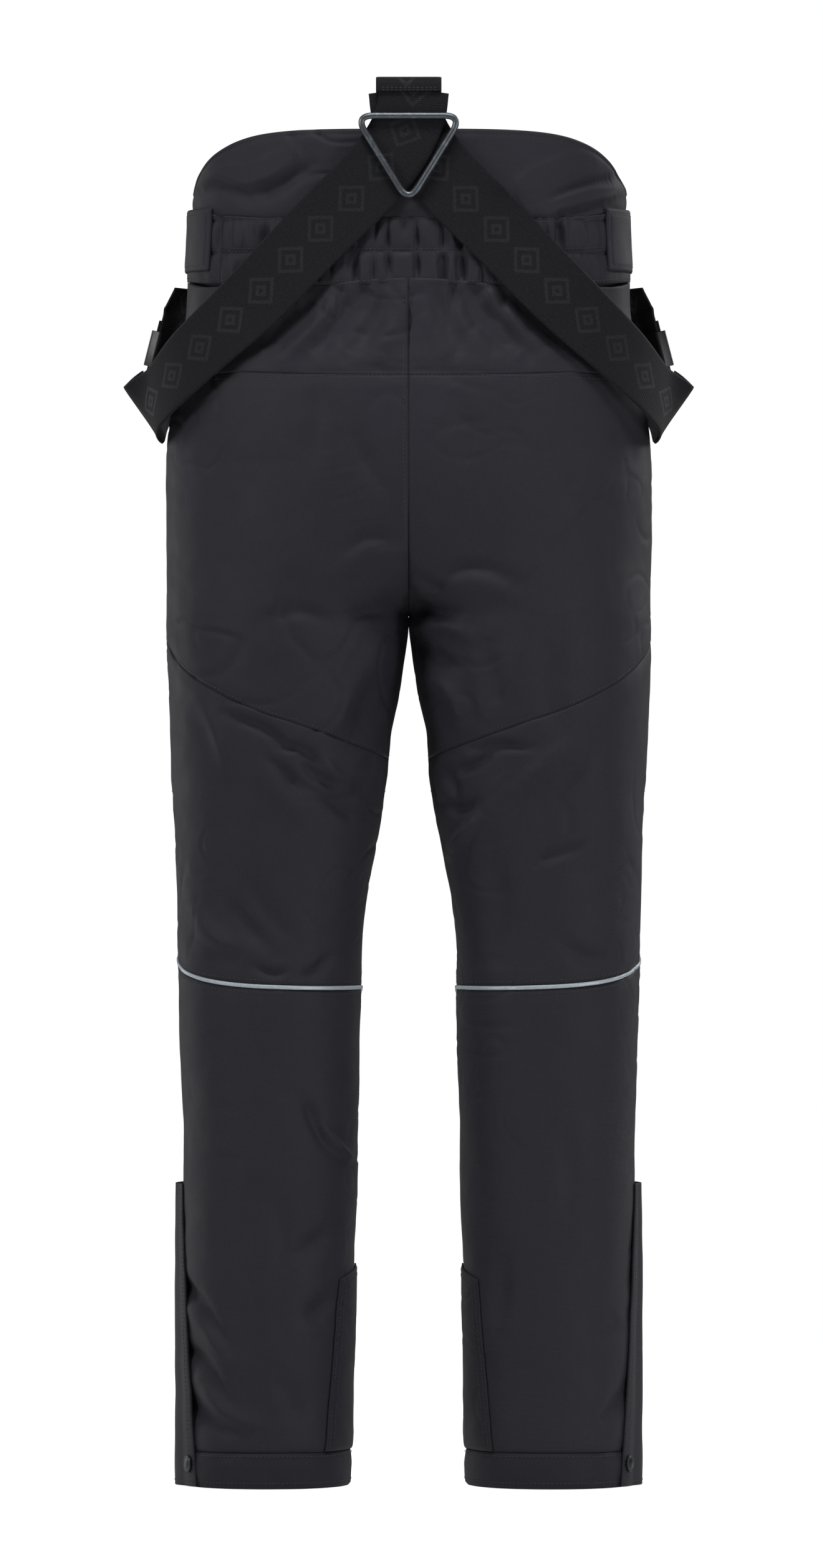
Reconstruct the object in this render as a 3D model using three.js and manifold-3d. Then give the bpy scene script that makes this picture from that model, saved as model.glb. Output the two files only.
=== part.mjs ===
// Junior insulated snow trousers with wide elastic braces.
// Millimetres. +Z up, +Y to the wearer's front, +X to the wearer's right.
// The origin is the middle of the waist opening, level with the top of the waistband.
import * as THREE from 'three';
import { mergeVertices } from 'three/addons/utils/BufferGeometryUtils.js';
import Module from 'manifold-3d';

const wasm = await Module();
wasm.setup();

// ---------------------------------------------------------------- driving dimensions
const INSEAM = 628; // crotch point to hem
const RISE = 285; // top of the waistband to the crotch point
const WAIST_HALF_WIDTH = 158;
const HIP_HALF_WIDTH = 175;
const KNEE_OUTER = 167;
const CUFF_OUTER = 163;
const KNEE_INNER = 35;
const HEM_INNER = 42;
const WAIST_BACK_DEPTH = 86;
const SEAT_BACK_DEPTH = 104;
const FRONT_DEPTH = 84;
const CROTCH_DEPTH = 92;
const KNEE_DEPTH = 71;
const HEM_DEPTH = 68;
const CROTCH_CURVE = 110; // height over which the crotch seam turns from under to upright
const ROUNDNESS = 0.92; // 1 is an ellipse, less is squarer

const SHELL = 3; // insulated outer shell: face fabric and wadding
const LINING = 0.8;
const LINING_GAP = 3;
const GAP = 0.3; // between pieces that are sewn or rest face to face
const BAND_HEIGHT = 48; // waistband
const BAND_OVERLAP = 30; // of its front ends
const HIGH_BACK = 64; // raised back panel above the waistband
const HIGH_BACK_CORNER = 13; // straight side of the raised panel below its round corner
const HEM_BAND = 26;
const GAITER_TOP = 150; // above the hem
const GAITER_LOW = 34;
const GAITER_DRAWN = 12; // how far it stands inside the leg
const GAITER_ELASTIC = 6; // how much further its elastic edge is drawn in
const YOKE_DROP = 110; // waistband top to yoke seam
const PIPING = 3.6;
const PIPING_PROUD = 0.8;
const KNEE_SEAM = 360; // above the hem, at the inseam
const THIGH_SEAM = 525; // above the hem, at the inseam
const FRONT_KNEE_TOP = 500;
const KICK_PATCH_TOP = 160;
const PATCH = 1.2;
const TAB_BACK = 0.845 * Math.PI; // sewn end of the waist tab, as an angle round the body
const TAB_FRONT = 1.2 * Math.PI;
const TAB_LOW = -36;
const TAB_HIGH = 9;
const TAB = 2;
const TAB_STANDOFF = 1;

const ZIP_SLOT = 12; // open width between the shell edges
const TAPE = 1.4;
const TAPE_WIDTH = 24;
const SLIDER_WIDTH = 8;
const SLIDER_LENGTH = 11;
const SLIDER_PLATE = 2.4;
const SLIDER_EYE = 2.2; // clear height under the slider's bridge
const PULLER_WIDTH = 6;
const PULLER_LENGTH = 22;
const CUFF_PULLER_LENGTH = 14;
const PULLER = 1;
const TAPE_CLEAR = 0.6; // between the fly tape and the shell it lies behind
const CUFF_TAPE_CLEAR = 2.2; // the leg curves away beside the cuff tape
const FLY_LENGTH = 125;
const FLY_TAPE_TAIL = 30; // tape below the bottom stop
const POCKET_ZIP_LENGTH = 130;
const CUFF_ZIP_LENGTH = 205;
const SHIELD = 1.2; // fly shield
const POCKET_ANGLE = 0.8 * Math.PI;
const POCKET_TOP = -64;
const POCKET_CLEAR = 4.2; // between the straight zip and the fullest part of the panel
const FLAP = 1.6;
const FLAP_STANDOFF = 4.8;
const FLAP_FLAT = 1.2; // stand-off of the part that carries the snap
const FLAP_LENGTH = 218;
const FLAP_FRONT = 1.15 * Math.PI; // the sewn edge
const FLAP_SNAP_HEIGHT = 16.6;
const SNAP_RADIUS = 6;
const WAIST_SNAP_RADIUS = 7.5;
const SNAP_HEIGHT = 2.6;

const WEBBING_WIDTH = 50;
const WEBBING = 1.6;
const LAYER_GAP = 0.4;
const RING_WIDTH = 72.5;
const RING_HEIGHT = 62.5;
const RING_ROD = 4.6;
const RING_CORNER = 9;
const RING_TOP = 75; // above the waistband top
const LOOP_TOP = 101;
const ADJUSTER_LENGTH = 26;
const ADJUSTER_WALL = 2.4;
const FOLD_Z = -138; // where a dropped brace turns round the hip
const FOLD_CLEAR = 14.7; // between the fold's lower edge and the hip
const RISE_ANGLE = 1.09 * Math.PI; // the straight stretch in front of the hip
const RISE_LOW = -124;
const RISE_HIGH = -60;
const RISE_STANDOFF = 12;

const AROUND = 12; // facets over half a leg
const LINING_LEG_ROWS = 8; // facets of the lining below and above the crotch
const LINING_SEAT_ROWS = 9;

const HEM_Z = -(INSEAM + RISE);
const CROTCH_Z = -RISE;
const SIDES = { left: -1, right: 1 };
const BACK = -1;
const FRONT = 1;
// How far each strap's inner face stands off the back panel where they cross.
const STRAP_LAYERS = { right: 1.5, left: 1.5 + WEBBING + LAYER_GAP };
const SLIDER_END = SLIDER_LENGTH / 2 + 1;
const UP = new THREE.Vector3(0, 0, 1);

// ---------------------------------------------------------------- body shape
// A smooth line through [height, value] points, flat at both ends.
function through(points) {
  return (z) => {
    let i = 1;
    while (i < points.length - 1 && z > points[i][0]) {
      i += 1;
    }
    const [z0, v0] = points[i - 1];
    const [z1, v1] = points[i];
    const k = Math.min(Math.max((z - z0) / (z1 - z0), 0), 1);
    return v0 + (v1 - v0) * k * k * (3 - 2 * k);
  };
}

const CUFF_TOP_Z = HEM_Z + FLAP_LENGTH + 12;
const KNEE_Z = HEM_Z + 0.6 * INSEAM;
const THIGH_Z = HEM_Z + 0.85 * INSEAM;
const SEAT_Z = -0.6 * RISE;

const outerX = through([
  [HEM_Z, CUFF_OUTER],
  [CUFF_TOP_Z, CUFF_OUTER],
  [KNEE_Z, KNEE_OUTER],
  [CROTCH_Z, HIP_HALF_WIDTH],
  [SEAT_Z, HIP_HALF_WIDTH],
  [-BAND_HEIGHT, WAIST_HALF_WIDTH + 2],
  [0, WAIST_HALF_WIDTH],
]);
const innerX = through([
  [HEM_Z, HEM_INNER],
  [KNEE_Z, KNEE_INNER],
  [THIGH_Z, 0.43 * KNEE_INNER],
  [CROTCH_Z, 0],
]);
const backDepth = through([
  [HEM_Z, HEM_DEPTH],
  [KNEE_Z, KNEE_DEPTH],
  [CROTCH_Z, CROTCH_DEPTH],
  [SEAT_Z, SEAT_BACK_DEPTH],
  [-0.1 * RISE, WAIST_BACK_DEPTH],
]);
const frontDepth = through([
  [HEM_Z, HEM_DEPTH],
  [KNEE_Z, KNEE_DEPTH],
  [CROTCH_Z, CROTCH_DEPTH],
  [-0.68 * RISE, FRONT_DEPTH],
]);

// Half section at one height: centre and half-width of the oval that one leg or the torso follows.
function section(z) {
  const outer = outerX(z);
  if (z <= CROTCH_Z) {
    const inner = innerX(z);
    return { centre: (outer + inner) / 2, half: (outer - inner) / 2 };
  }
  const u = Math.min((z - CROTCH_Z) / CROTCH_CURVE, 1);
  const centre = (outer / 2) * (1 - u);
  return { centre, half: outer - centre };
}

// Angle at which the oval meets the middle plane: 0 on a leg, a quarter turn on the torso.
function seamAngle(z) {
  const { centre, half } = section(z);
  return Math.acos(Math.min((centre / half) ** (1 / ROUNDNESS), 1));
}

// A point on the garment. angle runs from 0 at the inseam to PI at the side seam, and on past PI
// round the side to the other face. offset is outward from the outer surface.
function surface(side, face, angle, z, offset = 0) {
  const past = angle > Math.PI;
  const turn = past ? 2 * Math.PI - angle : angle;
  const towards = past ? -face : face;
  const { centre, half } = section(z);
  const depth = towards === BACK ? backDepth(z) : frontDepth(z);
  const c = Math.cos(turn);
  const s = Math.sin(turn);
  const x = centre - half * Math.sign(c) * Math.abs(c) ** ROUNDNESS;
  const y = depth * Math.abs(s) ** ROUNDNESS * Math.sign(s);
  const nx = (-Math.sign(c) * Math.abs(c) ** (2 - ROUNDNESS)) / half;
  const ny = (Math.sign(s) * Math.abs(s) ** (2 - ROUNDNESS)) / depth;
  const n = Math.hypot(nx, ny);
  return new THREE.Vector3(
    side * (x + (offset * nx) / n),
    towards * (y + (offset * ny) / n),
    z,
  );
}

// Angle step that moves a point by a length along the section.
function angleFor(length, z) {
  const { half } = section(z);
  return length / Math.max(half, 40);
}

// ---------------------------------------------------------------- mesh helpers
function bare(geometry) {
  const merged = geometry.clone();
  merged.deleteAttribute('normal');
  merged.deleteAttribute('uv');
  return mergeVertices(merged, 1e-4);
}

function facingOut(geometry) {
  const p = geometry.attributes.position;
  const index = geometry.index.array;
  const a = new THREE.Vector3();
  const b = new THREE.Vector3();
  const c = new THREE.Vector3();
  let volume = 0;
  for (let i = 0; i < index.length; i += 3) {
    a.fromBufferAttribute(p, index[i]);
    b.fromBufferAttribute(p, index[i + 1]);
    c.fromBufferAttribute(p, index[i + 2]);
    volume += a.dot(b.cross(c));
  }
  if (volume < 0) {
    for (let i = 0; i < index.length; i += 3) {
      [index[i], index[i + 1]] = [index[i + 1], index[i]];
    }
  }
  geometry.computeVertexNormals();
  return geometry;
}

// A segmented slab bent into place: place(u, v, w) with u along, v up and w from inner to outer face.
function bentSlab(along, up, place) {
  const slab = bare(new THREE.BoxGeometry(1, 1, 1, along, 1, up));
  const p = slab.attributes.position;
  for (let i = 0; i < p.count; i += 1) {
    const at = place(p.getX(i) + 0.5, p.getZ(i) + 0.5, p.getY(i) + 0.5);
    p.setXYZ(i, at.x, at.y, at.z);
  }
  return facingOut(slab);
}

// A wall that closes on itself: place(turn, v, w), turn from 0 to 1 all the way round.
function closedWall(around, up, place) {
  const ring = new THREE.TorusGeometry(2, 1, 2 * (up + 1), around);
  const uv = ring.attributes.uv;
  const p = ring.attributes.position;
  for (let i = 0; i < p.count; i += 1) {
    const step = Math.round(uv.getY(i) * 2 * (up + 1)) % (2 * (up + 1));
    const outer = step <= up;
    const v = outer ? step / up : (2 * up + 1 - step) / up;
    const at = place(uv.getX(i) % 1, v, outer ? 1 : 0);
    p.setXYZ(i, at.x, at.y, at.z);
  }
  return facingOut(bare(ring));
}

// A round rod along a closed line.
function closedRod(line, radius, around, sides) {
  const torus = new THREE.TorusGeometry(2, 1, sides, around);
  const uv = torus.attributes.uv;
  const p = torus.attributes.position;
  for (let i = 0; i < p.count; i += 1) {
    const u = uv.getX(i) % 1;
    const at = line(u);
    const ahead = line((u + 0.002) % 1);
    const behind = line((u + 0.998) % 1);
    const along = ahead.sub(behind).normalize();
    const across = new THREE.Vector3(0, 1, 0);
    const out = new THREE.Vector3().crossVectors(along, across);
    const turn = uv.getY(i) * 2 * Math.PI;
    at.addScaledVector(out, radius * Math.cos(turn));
    at.addScaledVector(across, radius * Math.sin(turn));
    p.setXYZ(i, at.x, at.y, at.z);
  }
  return facingOut(bare(torus));
}

function solidOf(geometry) {
  const clean = bare(geometry.index ? geometry : mergeVertices(geometry));
  return new wasm.Manifold(
    new wasm.Mesh({
      numProp: 3,
      vertProperties: new Float32Array(clean.attributes.position.array),
      triVerts: new Uint32Array(clean.index.array),
    }),
  );
}

function geometryOf(solid) {
  const mesh = solid.getMesh();
  const geometry = new THREE.BufferGeometry();
  geometry.setAttribute('position', new THREE.BufferAttribute(mesh.vertProperties, 3));
  geometry.setIndex(new THREE.BufferAttribute(mesh.triVerts, 1));
  geometry.computeVertexNormals();
  return geometry;
}

function roundedRect(width, height, radius) {
  const shape = new THREE.Shape();
  const x = width / 2;
  const y = height / 2;
  shape.moveTo(-x + radius, -y);
  shape.lineTo(x - radius, -y);
  shape.absarc(x - radius, -y + radius, radius, -Math.PI / 2, 0);
  shape.lineTo(x, y - radius);
  shape.absarc(x - radius, y - radius, radius, 0, Math.PI / 2);
  shape.lineTo(-x + radius, y);
  shape.absarc(-x + radius, y - radius, radius, Math.PI / 2, Math.PI);
  shape.lineTo(-x, -y + radius);
  shape.absarc(-x + radius, -y + radius, radius, Math.PI, 1.5 * Math.PI);
  return shape;
}

// ---------------------------------------------------------------- materials
const finish = (color, roughness, metalness = 0) => ({ color, roughness, metalness });
const SHELL_FABRIC = finish(0x2e2d32, 0.78);
const LINING_FABRIC = finish(0x1d1d21, 0.7);
const ELASTIC = finish(0x1b1a20, 0.9);
const REFLECTIVE = finish(0x8a9298, 0.45);
const REINFORCED = finish(0x2b2a2f, 0.82);
const ZIP_FABRIC = finish(0x161619, 0.85);
const COATED_METAL = finish(0x26272a, 0.4, 0.6);
const MOULDED = finish(0x121214, 0.5);

const group = new THREE.Group();

function add(name, geometry, look, parent = group) {
  const mesh = new THREE.Mesh(geometry, new THREE.MeshStandardMaterial(look));
  mesh.name = name;
  parent.add(mesh);
  return mesh;
}

// ---------------------------------------------------------------- seams
const aboveHem = (height) => HEM_Z + height;
const yokeSeam = (angle) => -YOKE_DROP - 3 * Math.abs(Math.cos(angle));
const thighSeam = (angle) => aboveHem(THIGH_SEAM + 89 * (angle / Math.PI) ** 1.6);
const kneeSeam = (angle, face) => {
  const dip = face === FRONT ? 28 * Math.sin(angle) : 0;
  return aboveHem(KNEE_SEAM + 21 * (angle / Math.PI) ** 4 - dip);
};
const frontKneeSeam = (angle) => aboveHem(FRONT_KNEE_TOP - 12 * Math.sin(angle));
const bandSeam = () => -BAND_HEIGHT;
const hemSeam = () => aboveHem(HEM_BAND);

// Shell edges: the fly zip's slot is open on the middle line, the cuff zip's on the side seam.
function edgeAngles(z, fly) {
  const flyOpen = fly && z > -BAND_HEIGHT - FLY_LENGTH - FLY_TAPE_TAIL - 4;
  const cuffOpen = z < aboveHem(CUFF_ZIP_LENGTH + 6);
  const first = flyOpen ? ZIP_SLOT / 2 : GAP / 2;
  const last = cuffOpen ? ZIP_SLOT / 2 : GAP / 2;
  return [seamAngle(z) + angleFor(first, z), Math.PI - angleFor(last, z)];
}

// One shell panel of one leg or half of the seat, between two seams.
function shellPanel(side, face, lower, upper, options = {}) {
  const { up = 6, fly = false, low = GAP / 2, high = GAP / 2 } = options;
  return bentSlab(AROUND, up, (u, v, w) => {
    const bottom = lower(u * Math.PI, face) + low;
    const top = upper(u * Math.PI, face) - high;
    const z = bottom + (top - bottom) * v;
    const [from, to] = edgeAngles(z, fly);
    return surface(side, face, from + (to - from) * u, z, (w - 1) * SHELL);
  });
}

function shellPanels(name, side) {
  const piping = PIPING / 2 + GAP;
  add(`back_yoke_${name}`, shellPanel(side, BACK, yokeSeam, bandSeam, { up: 3 }), SHELL_FABRIC);
  add(`back_seat_${name}`, shellPanel(side, BACK, thighSeam, yokeSeam, { up: 10 }), SHELL_FABRIC);
  add(
    `back_thigh_${name}`,
    shellPanel(side, BACK, kneeSeam, thighSeam, { low: piping, up: 4 }),
    SHELL_FABRIC,
  );
  add(
    `back_calf_${name}`,
    shellPanel(side, BACK, hemSeam, kneeSeam, { high: piping }),
    SHELL_FABRIC,
  );
  add(
    `front_upper_${name}`,
    shellPanel(side, FRONT, frontKneeSeam, bandSeam, { fly: true, up: 13 }),
    SHELL_FABRIC,
  );
  add(
    `front_knee_${name}`,
    shellPanel(side, FRONT, kneeSeam, frontKneeSeam, { low: piping, up: 4 }),
    REINFORCED,
  );
  add(
    `front_calf_${name}`,
    shellPanel(side, FRONT, hemSeam, kneeSeam, { high: piping }),
    SHELL_FABRIC,
  );
}

// ---------------------------------------------------------------- waist
// The raised back panel stands on the elastic waistband and ends in two round corners.
function highBack() {
  return bentSlab(2 * AROUND, 4, (u, v, w) => {
    const angle = (0.035 + 0.93 * u) * Math.PI;
    const across = Math.min(Math.abs(Math.cos(angle)), 1);
    const dome = (HIGH_BACK - HIGH_BACK_CORNER) * Math.sqrt(1 - across ** 5);
    const top = HIGH_BACK_CORNER + dome;
    const z = GAP / 2 + (top - GAP / 2) * v;
    const at = surface(1, BACK, angle, Math.min(z, 0), (w - 1) * SHELL);
    at.z = z;
    return at;
  });
}

function band(side, face, from, to, along, offset) {
  return bentSlab(along, 1, (u, v, w) => {
    const z = -BAND_HEIGHT + GAP / 2 + (BAND_HEIGHT - GAP) * v;
    const angle = from + (to - from) * u;
    return surface(side, face, angle, z, offset(u) + (w - 1) * SHELL);
  });
}

function waistbands() {
  const end = angleFor(GAP / 2, 0);
  add('back_waistband', band(1, BACK, end, Math.PI - end, 2 * AROUND, () => 0), ELASTIC);
  const overlap = angleFor(BAND_OVERLAP, 0);
  const middle = Math.PI / 2;
  add(
    'front_waistband_left',
    band(-1, FRONT, middle - overlap / 2, Math.PI - end, 12, () => 0),
    SHELL_FABRIC,
  );
  // The right end lies over the left one and carries the snap.
  const lift = (u) => (SHELL + GAP) * THREE.MathUtils.smoothstep(0.45 - u, 0, 0.2);
  add(
    'front_waistband_right',
    band(1, FRONT, middle - overlap / 2, Math.PI - end, 16, lift),
    SHELL_FABRIC,
  );
}

// Hook-and-loop tab sewn to the end of the elastic, closed forwards round the side.
function waistTab(side) {
  return bentSlab(12, 1, (u, v, w) => {
    const z = TAB_LOW + (TAB_HIGH - TAB_LOW) * v;
    const angle = TAB_BACK + (TAB_FRONT - TAB_BACK) * u;
    const at = surface(side, BACK, angle, Math.min(z, 0), TAB_STANDOFF + TAB * w);
    at.z = z;
    return at;
  });
}

// A button cap that points outwards at a place on the garment.
function snapCap(side, face, angle, z, stand, radius) {
  const profile = [
    new THREE.Vector2(0, 0),
    new THREE.Vector2(radius, 0),
    new THREE.Vector2(radius, 0.4 * SNAP_HEIGHT),
    new THREE.Vector2(0.8 * radius, 0.8 * SNAP_HEIGHT),
    new THREE.Vector2(0.35 * radius, SNAP_HEIGHT),
    new THREE.Vector2(0, 0.9 * SNAP_HEIGHT),
  ];
  const cap = new THREE.LatheGeometry(profile, 14);
  const at = surface(side, face, angle, z, stand);
  const out = surface(side, face, angle, z, stand + 1).sub(at);
  const turn = new THREE.Quaternion().setFromUnitVectors(new THREE.Vector3(0, 1, 0), out);
  cap.applyQuaternion(turn);
  cap.translate(at.x, at.y, at.z);
  return facingOut(bare(cap));
}

// ---------------------------------------------------------------- hems, patches, piping, lining
// The band goes round the leg from one edge of the cuff slot to the other.
function hemBand(side) {
  return bentSlab(2 * AROUND, 1, (u, v, w) => {
    const z = HEM_Z + (HEM_BAND - GAP / 2) * v;
    const end = Math.PI - angleFor(ZIP_SLOT / 2, z);
    const angle = (2 * u - 1) * end;
    const face = angle < 0 ? BACK : FRONT;
    return surface(side, face, Math.abs(angle), z, (w - 1) * SHELL);
  });
}

function kickPatch(side) {
  return bentSlab(8, 4, (u, v, w) => {
    const spread = (0.27 - 0.07 * v) * Math.PI;
    const angle = (2 * u - 1) * spread;
    const low = aboveHem(HEM_BAND) + GAP;
    const high = aboveHem(KICK_PATCH_TOP) - 10 * Math.abs(2 * u - 1);
    const face = angle < 0 ? BACK : FRONT;
    return surface(side, face, Math.abs(angle), low + (high - low) * v, 2 * GAP + PATCH * w);
  });
}

function piping(side) {
  return closedWall(2 * AROUND, 1, (u, v, w) => {
    const turn = (2 * u - 1) * Math.PI;
    const face = turn < 0 ? BACK : FRONT;
    const z = kneeSeam(Math.abs(turn), face) + (v - 0.5) * PIPING;
    return surface(side, face, Math.abs(turn), z, PIPING_PROUD - (SHELL - 0.6) * (1 - w));
  });
}

// Thin inner leg and half seat: round the side from the back edge to the front edge. It bows in
// behind the cuff zip.
function lining(side) {
  const rows = LINING_LEG_ROWS + LINING_SEAT_ROWS;
  const legShare = LINING_LEG_ROWS / rows;
  return bentSlab(2 * AROUND, rows, (u, v, w) => {
    const seat = Math.max(v - legShare, 0) / (1 - legShare);
    const leg = Math.min(v / legShare, 1);
    const foot = aboveHem(HEM_BAND);
    const z = foot + (CROTCH_Z - foot) * leg + (-BAND_HEIGHT - CROTCH_Z) * seat;
    const crotch = 1 - THREE.MathUtils.smoothstep(Math.abs(z - CROTCH_Z - 45), 55, 110);
    const ease = SHELL + LINING_GAP + 50 * crotch;
    const from = seamAngle(z) + angleFor(ease, z);
    const to = 2 * Math.PI - seamAngle(z) - angleFor(ease + TAPE_WIDTH / 2, z);
    const angle = from + (to - from) * u;
    const cuff = 1 - THREE.MathUtils.smoothstep(z, CUFF_TOP_Z, CUFF_TOP_Z + 40);
    const nearZip = 1 - THREE.MathUtils.smoothstep(Math.abs(angle - Math.PI), 0.25, 0.55);
    const outerFace = SHELL + LINING_GAP + 2 * crotch + CUFF_TAPE_CLEAR * cuff * nearZip;
    return surface(side, BACK, angle, z, -outerFace - LINING * (1 - w));
  });
}

// Snow cuff inside the leg, held in by elastic at its lower edge.
function gaiter(side) {
  return closedWall(2 * AROUND, 2, (u, v, w) => {
    const turn = (2 * u - 1) * Math.PI;
    const face = turn < 0 ? BACK : FRONT;
    const z = aboveHem(GAITER_LOW + (GAITER_TOP - GAITER_LOW) * v);
    const drawn = GAITER_DRAWN + GAITER_ELASTIC * (1 - v);
    return surface(side, face, Math.abs(turn), z, -drawn - LINING * (1 - w));
  });
}

// ---------------------------------------------------------------- zips
// Slider: a plate with a bridge over it. X across, Y outward from the tape, Z along the zip.
function zipSlider() {
  const outline = roundedRect(SLIDER_WIDTH, SLIDER_LENGTH, 2);
  const plate = new THREE.ExtrudeGeometry(outline, {
    depth: SLIDER_PLATE,
    bevelEnabled: false,
    curveSegments: 4,
  });
  plate.rotateX(Math.PI / 2);
  plate.translate(0, SLIDER_PLATE, 0);
  const half = SLIDER_LENGTH / 2 - 1;
  const roof = SLIDER_EYE + 1;
  const side = new THREE.Shape();
  side.moveTo(-half, -0.6);
  side.lineTo(half, -0.6);
  side.lineTo(half, roof - 1.2);
  side.lineTo(half - 1.2, roof);
  side.lineTo(-half + 1.2, roof);
  side.lineTo(-half, roof - 1.2);
  side.closePath();
  const eye = new THREE.Path();
  eye.moveTo(-half + 1.4, 0.02);
  eye.lineTo(-half + 1.4, SLIDER_EYE);
  eye.lineTo(half - 1.4, SLIDER_EYE);
  eye.lineTo(half - 1.4, 0.02);
  eye.closePath();
  side.holes.push(eye);
  const arch = new THREE.ExtrudeGeometry(side, { depth: 2, bevelEnabled: false });
  arch.translate(0, 0, -1);
  arch.rotateY(Math.PI / 2);
  arch.translate(0, SLIDER_PLATE, 0);
  return geometryOf(solidOf(plate).add(solidOf(arch)));
}

// Puller: a flat tab whose top bar passes under the bridge. Its origin is the bar's middle.
function zipPuller(length) {
  const bar = PULLER / 2;
  const half = PULLER_WIDTH / 2;
  const tab = new THREE.Shape();
  tab.moveTo(-half, bar);
  tab.lineTo(-half, -length + half);
  tab.absarc(0, -length + half, half, Math.PI, 2 * Math.PI);
  tab.lineTo(half, bar);
  tab.closePath();
  const window = new THREE.Path();
  window.moveTo(-half + 1.3, -bar);
  window.lineTo(half - 1.3, -bar);
  window.lineTo(half - 1.3, -bar - 6);
  window.lineTo(-half + 1.3, -bar - 6);
  window.closePath();
  tab.holes.push(window);
  const plate = new THREE.ExtrudeGeometry(tab, {
    depth: PULLER,
    bevelEnabled: false,
    curveSegments: 6,
  });
  plate.rotateX(Math.PI / 2);
  plate.translate(0, PULLER / 2, 0);
  return facingOut(bare(plate));
}

// A zip stands in a group whose X is across it, Y outward and Z up along it, origin at its top end.
function addZip(prefix, frame, length, pullerLength, sliderAt) {
  const tape = new THREE.BoxGeometry(TAPE_WIDTH, TAPE, length);
  tape.translate(0, -TAPE / 2, -length / 2);
  add(`${prefix}_zip_tape`, facingOut(bare(tape)), ZIP_FABRIC, frame);
  const slider = add(`${prefix}_zip_slider`, zipSlider(), COATED_METAL, frame);
  slider.position.set(0, GAP, sliderAt);
  const puller = add(`${prefix}_zip_puller`, zipPuller(pullerLength), MOULDED, frame);
  puller.position.set(0, GAP + SLIDER_PLATE + SLIDER_EYE / 2, sliderAt);
}

// A group with Z along `up` and Y as near `outward` as it can be.
function frameAt(origin, up, outward) {
  const z = up.clone().normalize();
  const x = new THREE.Vector3().crossVectors(outward, z).normalize();
  const y = new THREE.Vector3().crossVectors(z, x);
  const frame = new THREE.Group();
  frame.quaternion.setFromRotationMatrix(new THREE.Matrix4().makeBasis(x, y, z));
  frame.position.copy(origin);
  group.add(frame);
  return frame;
}

function flyZip() {
  const y = FRONT_DEPTH - SHELL - TAPE_CLEAR;
  const top = new THREE.Vector3(0, y, -BAND_HEIGHT - 3);
  const frame = frameAt(top, UP, new THREE.Vector3(0, 1, 0));
  addZip('fly', frame, FLY_LENGTH + FLY_TAPE_TAIL, PULLER_LENGTH, -SLIDER_END);
  const shieldDepth = SHELL + TAPE_CLEAR + TAPE + GAP;
  const shield = bentSlab(4, 6, (u, v, w) => {
    const z = -BAND_HEIGHT - 3 - (FLY_LENGTH + FLY_TAPE_TAIL) * (1 - v);
    const x = (u - 0.5) * (TAPE_WIDTH + 4);
    return new THREE.Vector3(x, FRONT_DEPTH - shieldDepth - SHIELD * (1 - w), z);
  });
  add('fly_shield', shield, LINING_FABRIC);
}

// Hand pocket zip, laid on the front panel near the side seam.
function pocketZip(name, side) {
  const bottomZ = POCKET_TOP - POCKET_ZIP_LENGTH;
  const inner = surface(side, FRONT, POCKET_ANGLE, POCKET_TOP);
  const innerLow = surface(side, FRONT, POCKET_ANGLE, bottomZ);
  const out = surface(side, FRONT, POCKET_ANGLE, POCKET_TOP, 1).sub(inner);
  let fullest = 0;
  for (let k = 0; k <= 1; k += 0.05) {
    const panel = surface(side, FRONT, POCKET_ANGLE, POCKET_TOP - POCKET_ZIP_LENGTH * k);
    fullest = Math.max(fullest, panel.sub(inner.clone().lerp(innerLow, k)).dot(out));
  }
  const standoff = POCKET_CLEAR + fullest;
  const top = surface(side, FRONT, POCKET_ANGLE, POCKET_TOP, standoff);
  const bottom = surface(side, FRONT, POCKET_ANGLE, bottomZ, standoff);
  const frame = frameAt(top, top.clone().sub(bottom), top.clone().sub(inner));
  addZip(`pocket_${name}`, frame, POCKET_ZIP_LENGTH, PULLER_LENGTH, -SLIDER_END);
}

// Cuff zip in the side seam. It closes downwards, so the slider rests at the hem.
function cuffZip(name, side) {
  const x = side * (CUFF_OUTER - SHELL - CUFF_TAPE_CLEAR);
  const top = new THREE.Vector3(x, 0, aboveHem(CUFF_ZIP_LENGTH));
  const frame = frameAt(top, UP, new THREE.Vector3(side, 0, 0));
  const length = CUFF_ZIP_LENGTH - 1;
  const sliderAt = -length + CUFF_PULLER_LENGTH + 2;
  addZip(`cuff_${name}`, frame, length, CUFF_PULLER_LENGTH, sliderAt);
}

// Storm flap over the cuff zip, sewn along its front edge, with a free rear edge that slants.
const flapRear = (v) => (0.79 + 0.15 * v) * Math.PI;

function stormFlap(side) {
  return bentSlab(12, 6, (u, v, w) => {
    const z = aboveHem(0.5 + (FLAP_LENGTH - 0.5) * v);
    const angle = flapRear(v) + (FLAP_FRONT - flapRear(v)) * u;
    const rise = FLAP_FLAT + (FLAP_STANDOFF - FLAP_FLAT) * THREE.MathUtils.smoothstep(u, 0.22, 0.42);
    const sewn = THREE.MathUtils.smoothstep(u, 0.86, 1);
    return surface(side, BACK, angle, z, rise * (1 - sewn) + GAP * sewn + FLAP * w);
  });
}

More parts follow.
